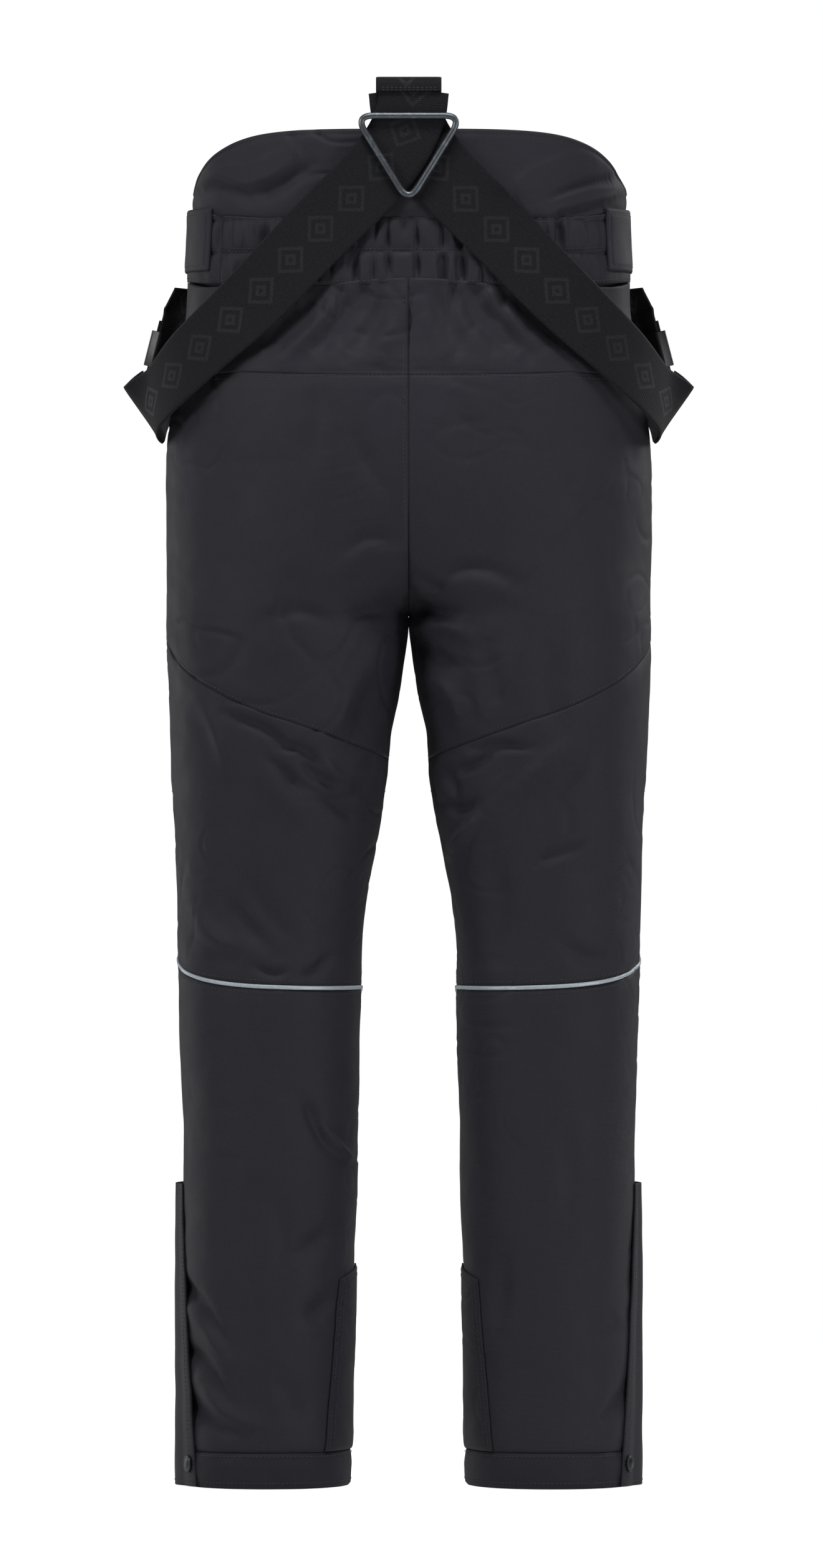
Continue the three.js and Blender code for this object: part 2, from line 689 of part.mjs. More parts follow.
// ---------------------------------------------------------------- braces
// Webbing along stations of { at, out }: a point and the way its face looks there.
function webbing(stations, width, from, segments) {
  const line = new THREE.CatmullRomCurve3(stations.map((s) => s.at), false, 'centripetal');
  const looks = new THREE.CatmullRomCurve3(stations.map((s) => s.out), false, 'centripetal');
  return bentSlab(segments, 1, (u, v, w) => {
    const along = line.getTangent(u);
    const out = looks.getPoint(u);
    out.addScaledVector(along, -out.dot(along)).normalize();
    const across = new THREE.Vector3().crossVectors(along, out);
    return line
      .getPoint(u)
      .addScaledVector(across, (v - 0.5) * width)
      .addScaledVector(out, from + WEBBING * w);
  });
}

// A webbing station held off the garment, facing away from it.
function station(side, face, angle, z, standoff) {
  const at = surface(side, face, angle, Math.min(z, 0), standoff);
  const out = surface(side, face, angle, Math.min(z, 0), standoff + 1).sub(at);
  at.z = z;
  return { at, out };
}

// Where the straps cross they lie flat on each other.
function crossing(side, x, z, layer) {
  const at = new THREE.Vector3(side * x, -WAIST_BACK_DEPTH - layer, z);
  return { at, out: new THREE.Vector3(0, -1, 0) };
}

// The hip widens below the fold, so the strap stands off far enough for its lower edge.
const FOLD_EDGE_Z = FOLD_Z - 0.415 * WEBBING_WIDTH;
const FOLD_STANDOFF = FOLD_CLEAR + outerX(FOLD_EDGE_Z) - outerX(FOLD_Z);

// The straight stretch that rises in front of the hip and carries the adjuster.
function riser(side) {
  const low = station(side, BACK, RISE_ANGLE, RISE_LOW, FOLD_STANDOFF + 3);
  const high = station(side, BACK, RISE_ANGLE, RISE_HIGH, RISE_STANDOFF);
  const along = high.at.clone().sub(low.at);
  const at = (k) => ({ at: low.at.clone().addScaledVector(along, k), out: low.out.clone() });
  return { along: along.clone().normalize(), at, out: low.out };
}

function shoulderStrap(side, layer) {
  const half = WEBBING_WIDTH / 2;
  const top = LOOP_TOP - 0.36 * half; // the end's raised corner stays under the loop's turn
  const rise = riser(side);
  const stations = [
    crossing(side, 0, top, layer),
    crossing(side, 0.12 * half, top - 20, layer),
    crossing(side, 0.4 * half, top - 40, layer),
    crossing(side, 0.96 * half, top - 40 - 0.84 * half, layer),
    station(side, BACK, 0.62 * Math.PI, -9, layer + 0.7),
    station(side, BACK, 0.72 * Math.PI, -55, 7),
    station(side, BACK, 0.85 * Math.PI, -101, 12),
    station(side, BACK, 0.93 * Math.PI, -127, FOLD_STANDOFF),
    {
      at: surface(side, BACK, Math.PI, FOLD_Z, FOLD_STANDOFF + 2),
      out: new THREE.Vector3(0.83 * side, 0, -0.55),
    },
    rise.at(0),
    rise.at(0.1),
    rise.at(0.25),
    rise.at(0.5),
    rise.at(0.7),
    rise.at(0.82),
  ];
  return webbing(stations, WEBBING_WIDTH, 0, 60);
}

// Front webbing, sewn under the waistband, runs down inside the adjuster behind the strap.
function frontWebbing(side) {
  const rise = riser(side);
  const stations = [
    rise.at(0.2),
    rise.at(0.35),
    rise.at(0.7),
    rise.at(0.88),
    rise.at(1),
    station(side, BACK, RISE_ANGLE, -BAND_HEIGHT + 2, 4 + WEBBING),
  ];
  return webbing(stations, WEBBING_WIDTH, -LAYER_GAP - WEBBING, 12);
}

function adjuster(side) {
  const rise = riser(side);
  const inner = 2 * WEBBING + 3 * LAYER_GAP;
  const outline = roundedRect(
    WEBBING_WIDTH + 2 * (LAYER_GAP + ADJUSTER_WALL),
    inner + 2 * ADJUSTER_WALL,
    ADJUSTER_WALL,
  );
  const slot = roundedRect(WEBBING_WIDTH + 2 * LAYER_GAP, inner, 0.4);
  outline.holes.push(new THREE.Path(slot.getPoints(2)));
  const sleeve = new THREE.ExtrudeGeometry(outline, {
    depth: ADJUSTER_LENGTH,
    bevelEnabled: false,
    curveSegments: 4,
  });
  sleeve.translate(0, 0, -ADJUSTER_LENGTH / 2);
  const shift = -LAYER_GAP / 2;
  const origin = rise.at(0.5).at.addScaledVector(rise.out, shift);
  const frame = frameAt(origin, rise.along, rise.out);
  return { frame, geometry: facingOut(bare(sleeve)) };
}

// The strap ends are capped by a loop that hangs over the raised back panel.
function centreLoop() {
  const inside = WAIST_BACK_DEPTH - SHELL - GAP - WEBBING;
  const outside = WAIST_BACK_DEPTH + STRAP_LAYERS.left + WEBBING + LAYER_GAP;
  const middle = (inside + outside) / 2;
  const reach = (outside - inside) / 2;
  const turn = LOOP_TOP - WEBBING - reach;
  const stations = [
    { at: new THREE.Vector3(0, -inside, 6), out: new THREE.Vector3(0, 1, 0) },
    { at: new THREE.Vector3(0, -inside, 0.5 * turn), out: new THREE.Vector3(0, 1, 0) },
  ];
  for (let i = 0; i <= 6; i += 1) {
    const angle = (Math.PI * i) / 6;
    const y = -middle + reach * Math.cos(angle);
    const z = turn + reach * Math.sin(angle);
    const out = new THREE.Vector3(0, Math.cos(angle), Math.sin(angle));
    stations.push({ at: new THREE.Vector3(0, y, z), out });
  }
  stations.push({
    at: new THREE.Vector3(0, -outside, LOOP_TOP - 10.5),
    out: new THREE.Vector3(0, -1, 0),
  });
  return webbing(stations, WEBBING_WIDTH - 3, 0, 24);
}

// Triangular ring, point down, lying on the crossing of the straps.
function crossingRing() {
  const rod = RING_ROD / 2;
  const y = -(WAIST_BACK_DEPTH + STRAP_LAYERS.left + WEBBING + 2 * LAYER_GAP + rod);
  const spread = RING_WIDTH / 2 - rod + RING_CORNER / 2;
  const high = RING_TOP - rod;
  const low = RING_TOP - RING_HEIGHT + rod - RING_CORNER / 2;
  const corners = [
    new THREE.Vector2(-spread, high),
    new THREE.Vector2(spread, high),
    new THREE.Vector2(0, low),
  ];
  const outline = new THREE.Path();
  corners.forEach((corner, i) => {
    const before = corners[(i + 2) % 3].clone().sub(corner).normalize();
    const after = corners[(i + 1) % 3].clone().sub(corner).normalize();
    const enter = corner.clone().addScaledVector(before, 1.5 * RING_CORNER);
    const leave = corner.clone().addScaledVector(after, 1.5 * RING_CORNER);
    if (i === 0) {
      outline.moveTo(enter.x, enter.y);
    } else {
      outline.lineTo(enter.x, enter.y);
    }
    outline.quadraticCurveTo(corner.x, corner.y, leave.x, leave.y);
  });
  outline.closePath();
  const line = (u) => {
    const at = outline.getPointAt(u);
    return new THREE.Vector3(at.x, y, at.y);
  };
  return closedRod(line, rod, 36, 8);
}

// ---------------------------------------------------------------- assembly
add('high_back_panel', highBack(), SHELL_FABRIC);
waistbands();
const snapAngle = Math.PI / 2 - angleFor(BAND_OVERLAP / 4, 0);
const snapStand = SHELL + 2.5 * GAP;
add(
  'waist_snap_cap',
  snapCap(1, FRONT, snapAngle, -BAND_HEIGHT / 2, snapStand, WAIST_SNAP_RADIUS),
  COATED_METAL,
);
flyZip();
for (const [name, side] of Object.entries(SIDES)) {
  shellPanels(name, side);
  add(`hem_band_${name}`, hemBand(side), REINFORCED);
  add(`kick_patch_${name}`, kickPatch(side), REINFORCED);
  add(`reflective_piping_${name}`, piping(side), REFLECTIVE);
  add(`lining_${name}`, lining(side), LINING_FABRIC);
  add(`snow_gaiter_${name}`, gaiter(side), LINING_FABRIC);
  add(`waist_tab_${name}`, waistTab(side), SHELL_FABRIC);
  pocketZip(name, side);
  cuffZip(name, side);
  add(`storm_flap_${name}`, stormFlap(side), SHELL_FABRIC);
  const flapV = FLAP_SNAP_HEIGHT / FLAP_LENGTH;
  const flapAngle = flapRear(flapV) + 0.12 * (FLAP_FRONT - flapRear(flapV));
  const capStand = FLAP_FLAT + FLAP + 1.5 * GAP;
  add(
    `cuff_snap_cap_${name}`,
    snapCap(side, BACK, flapAngle, aboveHem(FLAP_SNAP_HEIGHT), capStand, SNAP_RADIUS),
    COATED_METAL,
  );
  add(`shoulder_strap_${name}`, shoulderStrap(side, STRAP_LAYERS[name]), ELASTIC);
  add(`front_webbing_${name}`, frontWebbing(side), ELASTIC);
  const sleeve = adjuster(side);
  add(`brace_adjuster_${name}`, sleeve.geometry, MOULDED, sleeve.frame);
}
add('centre_back_loop', centreLoop(), ELASTIC);
add('crossing_ring', crossingRing(), COATED_METAL);

export default group;
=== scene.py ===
import math

import bmesh
import bpy
import numpy as np
from mathutils import Matrix, Vector, noise


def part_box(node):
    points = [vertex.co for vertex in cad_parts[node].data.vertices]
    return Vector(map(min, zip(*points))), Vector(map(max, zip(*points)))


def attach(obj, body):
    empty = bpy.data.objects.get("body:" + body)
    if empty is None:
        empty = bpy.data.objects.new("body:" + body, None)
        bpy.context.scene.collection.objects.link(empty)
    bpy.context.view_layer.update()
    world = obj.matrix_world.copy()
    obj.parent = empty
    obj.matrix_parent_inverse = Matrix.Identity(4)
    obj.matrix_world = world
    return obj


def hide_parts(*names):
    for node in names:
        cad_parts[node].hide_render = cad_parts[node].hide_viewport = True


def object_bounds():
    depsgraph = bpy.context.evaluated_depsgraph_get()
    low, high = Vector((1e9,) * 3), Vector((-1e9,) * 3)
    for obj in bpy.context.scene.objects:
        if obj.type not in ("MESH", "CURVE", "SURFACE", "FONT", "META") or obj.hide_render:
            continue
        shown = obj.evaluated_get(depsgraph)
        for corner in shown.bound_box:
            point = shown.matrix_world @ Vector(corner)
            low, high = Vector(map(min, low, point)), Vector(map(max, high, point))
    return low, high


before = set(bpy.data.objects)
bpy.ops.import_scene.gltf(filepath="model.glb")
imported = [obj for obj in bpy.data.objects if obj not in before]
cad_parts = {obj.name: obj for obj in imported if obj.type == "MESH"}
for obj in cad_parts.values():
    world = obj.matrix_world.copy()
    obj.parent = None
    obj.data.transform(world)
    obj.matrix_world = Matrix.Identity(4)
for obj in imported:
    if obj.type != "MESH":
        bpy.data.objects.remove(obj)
cad_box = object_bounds()

MM = 0.001
BACK, FRONT = -1, 1
SIDES = {"left": -1, "right": 1}


def corner(node, which, axis):
    """One coordinate of a node's box in millimetres: which is 0 for low and 1 for high."""
    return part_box(node)[which][axis] / MM


# ------------------------------------------------------------------ driving sizes, millimetres
HEM_Z = corner("hem_band_left", 0, 2)
CROTCH_Z = -285.0
INSEAM = CROTCH_Z - HEM_Z
BAND = 48.0
HIGH_BACK = corner("high_back_panel", 1, 2)
HIP = corner("back_seat_right", 1, 0)
WAIST = 158.0
WAIST_BACK = 86.0
KNEE_OUTER, CUFF_OUTER = 167.0, 163.0
KNEE_INNER, HEM_INNER = 35.0, 42.0
SEAT_BACK, FRONT_DEPTH, CROTCH_DEPTH = 104.0, 84.0, 92.0
KNEE_DEPTH, HEM_DEPTH = 71.0, 68.0
CROTCH_CURVE = 110.0
CROTCH_EASE = 0.12  # share of that height over which the curve sets in
ROUNDNESS = 0.92
YOKE_DROP = 110.0
HEM_BAND = 26.0
FLAP_LENGTH = 218.0
WEB = 50.0
WEB_THICK = 1.6
PIPING = 3.2
CUFF_SLIT = 211.0  # how far up from the hem the cuff is open
FLY_SLIT = 159.0  # how far down from the waistband the fly is open
SHELL = 2.4

# ------------------------------------------------------------------ camera
VIEW_HEIGHT = 1132 * MM  # how much of the object's plane the frame holds, top to bottom
VIEW_CENTRE = (2 * MM, -406 * MM)
CAMERA_DISTANCE = 8.0
FOCUS_PLANE = -30 * MM  # the plane, across the object, at which VIEW_HEIGHT is measured

camera_data = bpy.data.cameras.new("camera")
camera_data.sensor_fit = "VERTICAL"
camera_data.sensor_height = 36.0
camera_data.lens = camera_data.sensor_height * CAMERA_DISTANCE / VIEW_HEIGHT
camera = bpy.data.objects.new("camera", camera_data)
camera.location = (VIEW_CENTRE[0], FOCUS_PLANE - CAMERA_DISTANCE, VIEW_CENTRE[1])
camera.rotation_euler = (math.pi / 2, 0, 0)
bpy.context.collection.objects.link(camera)
bpy.context.scene.camera = camera
bpy.context.scene.view_settings.view_transform = "Standard"


# ------------------------------------------------------------------ body shape
def smooth(k):
    """Eases a share between 0 and 1 so that it starts and ends level."""
    return k * k * (3 - 2 * k)


def read_along(at, way, values):
    """Rows of a table of points or directions, read at places along its way."""
    return np.stack([np.interp(at, way, column) for column in values.T], -1)


def through(points):
    """A smooth line through (height, value) points, flat at each of them."""
    zs = np.array([p[0] for p in points])
    vs = np.array([p[1] for p in points])

    def value(z):
        z = np.asarray(z, float)
        i = np.clip(np.searchsorted(zs, z), 1, len(zs) - 1)
        k = np.clip((z - zs[i - 1]) / (zs[i] - zs[i - 1]), 0, 1)
        return vs[i - 1] + (vs[i] - vs[i - 1]) * smooth(k)

    return value


KNEE_Z = HEM_Z + 0.6 * INSEAM
THIGH_Z = HEM_Z + 0.85 * INSEAM
SEAT_Z = 0.6 * CROTCH_Z
outer_x = through([
    (HEM_Z, CUFF_OUTER), (HEM_Z + FLAP_LENGTH + 12, CUFF_OUTER), (KNEE_Z, KNEE_OUTER),
    (CROTCH_Z, HIP), (SEAT_Z, HIP), (-BAND, WAIST + 2), (0, WAIST),
])
inner_x = through([
    (HEM_Z, HEM_INNER), (KNEE_Z, KNEE_INNER), (THIGH_Z, 0.43 * KNEE_INNER), (CROTCH_Z, 0),
])
back_depth = through([
    (HEM_Z, HEM_DEPTH), (KNEE_Z, KNEE_DEPTH), (CROTCH_Z, CROTCH_DEPTH), (SEAT_Z, SEAT_BACK),
    (0.1 * CROTCH_Z, WAIST_BACK),
])
front_depth = through([
    (HEM_Z, HEM_DEPTH), (KNEE_Z, KNEE_DEPTH), (CROTCH_Z, CROTCH_DEPTH),
    (0.68 * CROTCH_Z, FRONT_DEPTH),
])


def section(z):
    outer = outer_x(z)
    inner = inner_x(z)
    u = np.clip((z - CROTCH_Z) / CROTCH_CURVE, 0, 1)
    u = u * (1 - np.exp(-u / CROTCH_EASE))
    centre = np.where(z <= CROTCH_Z, (outer + inner) / 2, outer / 2 * (1 - u))
    return centre, outer - centre


def seam_angle(z):
    centre, half = section(z)
    return np.where(
        z <= CROTCH_Z, 0.0, np.arccos(np.minimum((centre / half) ** (1 / ROUNDNESS), 1))
    )


def shape(side, face, angle, z):
    """Points of the smooth body in millimetres and the way it faces there, level with the floor."""
    angle, z = np.broadcast_arrays(np.asarray(angle, float), np.asarray(z, float))
    past = angle > math.pi
    turn = np.where(past, 2 * math.pi - angle, angle)
    face = np.where(past, -1, 1) * face
    low = np.minimum(z, 0)
    centre, half = section(low)
    depth = np.where(face == BACK, back_depth(low), front_depth(low))
    c, s = np.cos(turn), np.sin(turn)
    x = centre - half * np.sign(c) * np.abs(c) ** ROUNDNESS
    y = depth * np.abs(s) ** ROUNDNESS * np.sign(s)
    nx = -np.sign(c) * np.abs(c) ** (2 - ROUNDNESS) / half
    ny = np.sign(s) * np.abs(s) ** (2 - ROUNDNESS) / depth
    n = np.hypot(nx, ny)
    at = np.stack([side * x, face * y, z + 0 * x], -1)
    out = np.stack([side * nx / n, face * ny / n, 0 * x], -1)
    return at, out


# ------------------------------------------------------------------ seams, as heights over the angle
def yoke_seam(angle):
    return -YOKE_DROP - 3 * np.abs(np.cos(angle))


def thigh_seam(angle):
    return HEM_Z + 525 + 89 * (angle / math.pi) ** 1.6


def knee_seam(angle, face):
    dip = 28 * np.sin(angle) if face == FRONT else 0
    return HEM_Z + 360 + 21 * (angle / math.pi) ** 4 - dip


def front_knee_seam(angle):
    return HEM_Z + 500 - 12 * np.sin(angle)


def side_lift(angle):
    """The waistband's seams climb a little towards the sides."""
    return np.abs(np.cos(angle)) ** 6


def band_top(angle):
    return 9 * side_lift(angle)


def band_low(angle):
    return -BAND + 5 * side_lift(angle)


# ------------------------------------------------------------------ folds
FOLD_DEPTH = 2.1  # how much deeper the folds are made than they are written below

# Each fold: height in mm (valleys are negative), half-width in mm, then (x, z) along it.
BACK_FOLDS = [
    # deep folds that fan out under the elastic waist
    (-3.4, 9, (-28, -48), (-44, -70), (-74, -100)),
    (2.0, 8, (-46, -50), (-64, -76), (-92, -98)),
    (-2.2, 7, (-16, -50), (-24, -74), (-46, -100)),
    (-2.6, 9, (-62, -50), (-84, -76), (-110, -94)),
    (1.4, 8, (-6, -52), (-8, -74), (-20, -98)),
    (-2.0, 7, (18, -50), (24, -68), (38, -96)),
    (-3.4, 9, (36, -48), (54, -72), (84, -98)),
    (2.0, 8, (54, -49), (74, -72), (100, -94)),
    (-2.6, 9, (66, -49), (90, -74), (114, -92)),
    (-1.0, 9, (-70, -118), (-66, -146), (-74, -176)),
    (-0.9, 10, (30, -120), (40, -150), (38, -180)),
    # arched creases over the seat
    (-1.5, 5.5, (-50, -244), (-30, -229), (-9, -231)),
    (1.1, 8, (-54, -255), (-30, -241), (-8, -243)),
    (-1.8, 5.5, (18, -259), (38, -251), (56, -252), (78, -262)),
    (1.3, 9, (20, -271), (46, -263), (74, -272)),
    (-1.8, 4, (4, -256), (18, -264), (26, -262)),
    (-1.5, 6, (-102, -288), (-76, -282), (-52, -292)),
    (-1.5, 5, (-46, -288), (-28, -282), (-10, -276)),
    (-1.2, 6, (-36, -160), (-26, -182), (-14, -200)),
    # creases that run out from the crotch
    (-3.2, 4, (1, -272), (14, -280), (30, -282)),
    (2.2, 5, (6, -292), (24, -292), (44, -298)),
    (-3.0, 5, (6, -300), (16, -312), (34, -322)),
    (2.0, 5, (16, -328), (30, -340), (36, -362)),
    (-1.4, 9, (50, -300), (58, -325), (66, -352)),
    (1.3, 11, (88, -296), (78, -322), (70, -350)),
    (-0.9, 8, (34, -300), (40, -326), (42, -356)),
    (-1.3, 10, (104, -300), (100, -340), (112, -370)),
    (2.0, 10, (-14, -296), (-34, -330), (-60, -370)),
    (-1.8, 12, (-30, -310), (-30, -345), (-36, -380)),
    # drag lines under the left thigh seam
    (-3.0, 4, (-133, -355), (-104, -366), (-85, -380)),
    (1.8, 6, (-150, -345), (-136, -372), (-128, -400)),
    (-3.0, 3.5, (-93, -379), (-76, -381), (-63, -392)),
    (-3.0, 4, (-76, -388), (-66, -400), (-50, -408)),
    (2.2, 4, (-62, -388), (-54, -398), (-42, -408)),
    (-2.0, 4, (-102, -388), (-88, -398), (-80, -410)),
    (-2.2, 6, (-82, -404), (-52, -420), (-34, -432)),
    (1.4, 8, (-112, -380), (-96, -410), (-76, -428)),
    (-1.6, 8, (-120, -470), (-100, -500), (-84, -520)),
    # and under the right one
    (-3.0, 3.5, (46, -381), (66, -378), (88, -380)),
    (-2.6, 4, (32, -397), (48, -391), (60, -381)),
    (2.2, 7, (80, -410), (100, -390), (120, -372)),
    (-1.6, 7, (100, -430), (116, -404), (134, -382)),
    (2.4, 4, (30, -456), (40, -442), (50, -430)),
    (-2.6, 4, (26, -420), (36, -424), (48, -418)),
    (-1.8, 5, (92, -462), (108, -456), (128, -450)),
    (-1.6, 10, (60, -450), (64, -490), (62, -530)),
    (-2.0, 4, (26, -396), (32, -408), (34, -420)),
    # soft folds above the knee piping
    (2.2, 7, (-156, -490), (-142, -514), (-116, -526)),
    (-1.9, 6, (-132, -488), (-114, -510), (-96, -528)),
    (-2.2, 3.5, (-112, -537), (-98, -542), (-86, -541)),
    (-1.8, 4, (-78, -544), (-66, -540), (-56, -530)),
    (-1.6, 6, (110, -520), (128, -530), (146, -530)),
    # left calf and cuff
    (2.4, 2.6, (-64, -648), (-53, -665), (-40, -680)),
    (-2.4, 5, (-74, -632), (-66, -650), (-54, -672)),
    (-1.8, 7, (-84, -752), (-70, -738), (-54, -728)),
    (-1.8, 7, (-76, -790), (-64, -784), (-56, -772)),
    (-3.0, 5, (-166, -762), (-150, -782), (-130, -812)),
    (1.8, 7, (-160, -776), (-142, -800), (-124, -830)),
    (-2.4, 5, (-164, -812), (-148, -822), (-132, -850)),
    (-2.2, 6, (-164, -842), (-150, -860), (-116, -874)),
    (1.6, 6, (-150, -836), (-130, -860), (-104, -868)),
    (-1.4, 8, (-100, -700), (-90, -730), (-96, -760)),
    (-1.3, 8, (-96, -830), (-84, -850), (-80, -868)),
    # right calf and cuff
    (-2.0, 6, (136, -868), (146, -856), (156, -840)),
    (-1.5, 8, (70, -740), (66, -770), (64, -800)),
    (-1.4, 9, (128, -790), (140, -800), (154, -790)),
    (-1.2, 10, (110, -640), (116, -690), (112, -740)),
]
FRONT_FOLDS = [
    (-3.0, 5, (6, -240), (30, -262), (62, -274)),
    (2.0, 7, (8, -256), (34, -280), (66, -292)),
    (-2.6, 6, (8, -285), (30, -304), (62, -316)),
    (-2.0, 6, (24, -200), (46, -214), (80, -222)),
    (-2.2, 7, (40, -384), (80, -396), (130, -388)),
    (1.8, 9, (44, -440), (90, -452), (140, -440)),
    (-2.4, 6, (42, -560), (80, -574), (120, -566)),
    (2.0, 8, (50, -600), (90, -612), (140, -596)),
    (-2.0, 7, (50, -700), (80, -716), (120, -700)),
    (-2.2, 6, (60, -836), (90, -850), (140, -838)),
    (1.6, 8, (60, -862), (100, -872), (140, -860)),
    (-2.0, 6, (120, -120), (100, -150), (90, -190)),
]


def curve_points(points, count):
    """Points along a smooth line through the given ones."""
    p = np.array(points, float)
    p = np.vstack([2 * p[0] - p[1], p, 2 * p[-1] - p[-2]])
    spans = len(p) - 3
    t = np.linspace(0, spans, count)
    i = np.minimum(t.astype(int), spans - 1)
    k = (t - i)[:, None]
    a, b, c, d = p[i], p[i + 1], p[i + 2], p[i + 3]
    return 0.5 * (
        2 * b + (c - a) * k + (2 * a - 5 * b + 4 * c - d) * k**2 + (3 * b - a - 3 * c + d) * k**3
    )


FOLD_POINTS = 25  # points along each fold's line


def fold_height(folds, x, z):
    """The summed height of all folds at (x, z), each fading out towards its ends."""
    total = np.zeros_like(x)
    for height, width, *points in folds:
        line = curve_points(points, FOLD_POINTS)
        low = line.min(0) - 3 * width
        high = line.max(0) + 3 * width
        near = (x > low[0]) & (x < high[0]) & (z > low[1]) & (z < high[1])
        if not near.any():
            continue
        d = np.hypot(x[near, None] - line[:, 0], z[near, None] - line[:, 1])
        share = d.argmin(1) / (FOLD_POINTS - 1)
        taper = np.sin(math.pi * np.clip(share, 0.04, 0.96)) ** 0.6
        total[near] += height * taper * np.exp(-((d.min(1) / width) ** 2))
    return total


def ripple(x, y, z, size, seed):
    """Smooth noise with bumps about size millimetres across."""
    return np.array([
        noise.noise((a / size + seed, b / size, c / size)) for a, b, c in zip(x, y, z)
    ])


def creases(x, y, z, size, seed):
    """Thin wandering valleys with soft shoulders, here and there."""
    line_of = ripple(x, 1.4 * y, 1.5 * z, size, seed)
    here = np.clip(2.2 * ripple(x, y, z, 2.1 * size, seed + 20), 0, 1)
    return here * (0.5 * np.exp(-((line_of / 0.2) ** 2)) - 1.5 * np.exp(-((line_of / 0.07) ** 2)))


def near(distance, reach):
    return np.exp(-np.abs(distance) / reach)


def pleats(x, z, pitch, seed):
    """Upright pleats about pitch millimetres wide that wander a little on their way down."""
    wave = np.array([noise.noise((a / pitch, b / 55 + seed, seed)) for a, b in zip(x, z)])
    fine = np.array([noise.noise((a / pitch * 2.2, b / 30 - seed, seed)) for a, b in zip(x, z)])
    return 1.6 * wave - 0.9 * np.abs(wave) + 0.4 * fine


def cloth_height(side, face, angle, at):
    """How far the insulated cloth stands off the smooth body, in millimetres."""
    x, y, z = at[:, 0], at[:, 1], at[:, 2]
    turn = np.minimum(angle, 2 * math.pi - angle)
    _, half = section(z)
    height = 1.3 * ripple(x, y, z, 52, 3.1) + 0.35 * ripple(x, y, z, 15, 9.7)
    calm = np.clip((z - HEM_Z - 60) / 160, 0.3, 1)
    height += calm * (creases(x, y, z, 64, 6.3) + 0.6 * creases(x, y, z, 37, 2.8))
    facing = smooth(np.clip(np.abs(y) / 24, 0, 1))  # folds fade out at the sides
    if face == BACK:
        height += FOLD_DEPTH * facing * fold_height(BACK_FOLDS, x, z)
        seams = [z - yoke_seam(turn), z - thigh_seam(turn)]
        below = np.maximum(-BAND - z, 0)
        gather = 1.5 * (1 - np.exp(-below / 6)) * np.exp(-below / 19) * np.exp(-((x / 118) ** 6))
        height += 3.4 * facing * gather * pleats(x, z, 9.0, 2.0)
    else:
        height += FOLD_DEPTH * facing * fold_height(FRONT_FOLDS, np.abs(x), z)
        seams = [z - front_knee_seam(turn)]
    seams += [z - knee_seam(turn, face), z - HEM_Z - HEM_BAND, (math.pi - turn) * half]
    seams += [(turn - seam_angle(z)) * half]
    below_crotch = np.exp(-(((z - CROTCH_Z + 62) / 24) ** 2))
    height += 3.5 * below_crotch * np.exp(-((turn / 0.6) ** 2))
    for distance in seams:
        height -= 1.1 * (0.35 + 0.65 * facing) * near(distance, 2.6)
        height += 0.5 * near(distance - 11, 9) + 0.5 * near(distance + 11, 9)
    return np.maximum(height, -4.4)


def skin(side, face, angle, z, lift=0.0):
    """Points of the outer cloth in metres, lift millimetres above it."""
    at, out = shape(side, face, angle, z)
    return MM * (at + out * (cloth_height(side, face, angle, at) + lift)[:, None])


# ------------------------------------------------------------------ materials
def linear(colour):
    parts = [int(colour[i : i + 2], 16) / 255 for i in (1, 3, 5)]
    return tuple(p / 12.92 if p <= 0.04045 else ((p + 0.055) / 1.055) ** 2.4 for p in parts) + (1,)


def add(tree, kind, settings=None, **inputs):
    """Adds one node. Settings are its own properties, inputs its sockets: values or other sockets."""
    made = tree.nodes.new("ShaderNode" + kind)
    for key, value in (settings or {}).items():
        setattr(made, key, value)
    for key, value in inputs.items():
        socket = made.inputs[int(key[1:])] if key[1:].isdigit() else made.inputs[key.replace("_", " ")]
        if isinstance(value, bpy.types.NodeSocket):
            tree.links.new(value, socket)
        else:
            socket.default_value = value
    return made


def new_material(name, **values):
    material = bpy.data.materials.new(name)
    material.use_nodes = True
    shader = material.node_tree.nodes["Principled BSDF"]
    for key, value in values.items():
        shader.inputs[key.replace("_", " ")].default_value = value
    return material, material.node_tree, shader


def blend_colours(tree, share, low, high):
    mix = add(tree, "Mix", {"data_type": "RGBA"}, _0=share)
    mix.inputs[6].default_value = linear(low)
    mix.inputs[7].default_value = linear(high)
    return mix.outputs[2]


def maths(tree, operation, *values):
    sockets = {f"_{i}": value for i, value in enumerate(values)}
    return add(tree, "Math", {"operation": operation}, **sockets).outputs[0]


def spread(tree, share, low, high, start=0.0, end=1.0):
    """Values from low to high as share goes from start to end."""
    return add(tree, "MapRange", _0=share, _1=start, _2=end, _3=low, _4=high).outputs[0]


def grain_of(tree, place, size_mm, detail, **inputs):
    """Noise with grains about size_mm across, on coordinates in metres."""
    made = add(tree, "TexNoise", Vector=place, Scale=1 / (size_mm * MM), Detail=detail, **inputs)
    return made.outputs["Fac"]


def wave_mm(tree, coordinates, pitch_mm, direction):
    """Bands pitch_mm apart on coordinates in metres. A band texture repeats every pi / 10 / scale."""
    scale = math.pi / 10 / (pitch_mm * MM)
    bands = {"wave_type": "BANDS", "bands_direction": direction, "wave_profile": "SIN"}
    return add(tree, "TexWave", bands, Vector=coordinates, Scale=scale, Distortion=0.0).outputs["Fac"]


def plug_in(tree, shader, colour, rough, strength, depth_mm, height):
    """Joins colour, roughness and relief to the shader. Without rough its own value stays."""
    tree.links.new(colour, shader.inputs["Base Color"])
    if rough:
        tree.links.new(rough, shader.inputs["Roughness"])
    bump = add(tree, "Bump", Strength=strength, Distance=depth_mm * MM, Height=height)
    tree.links.new(bump.outputs[0], shader.inputs["Normal"])


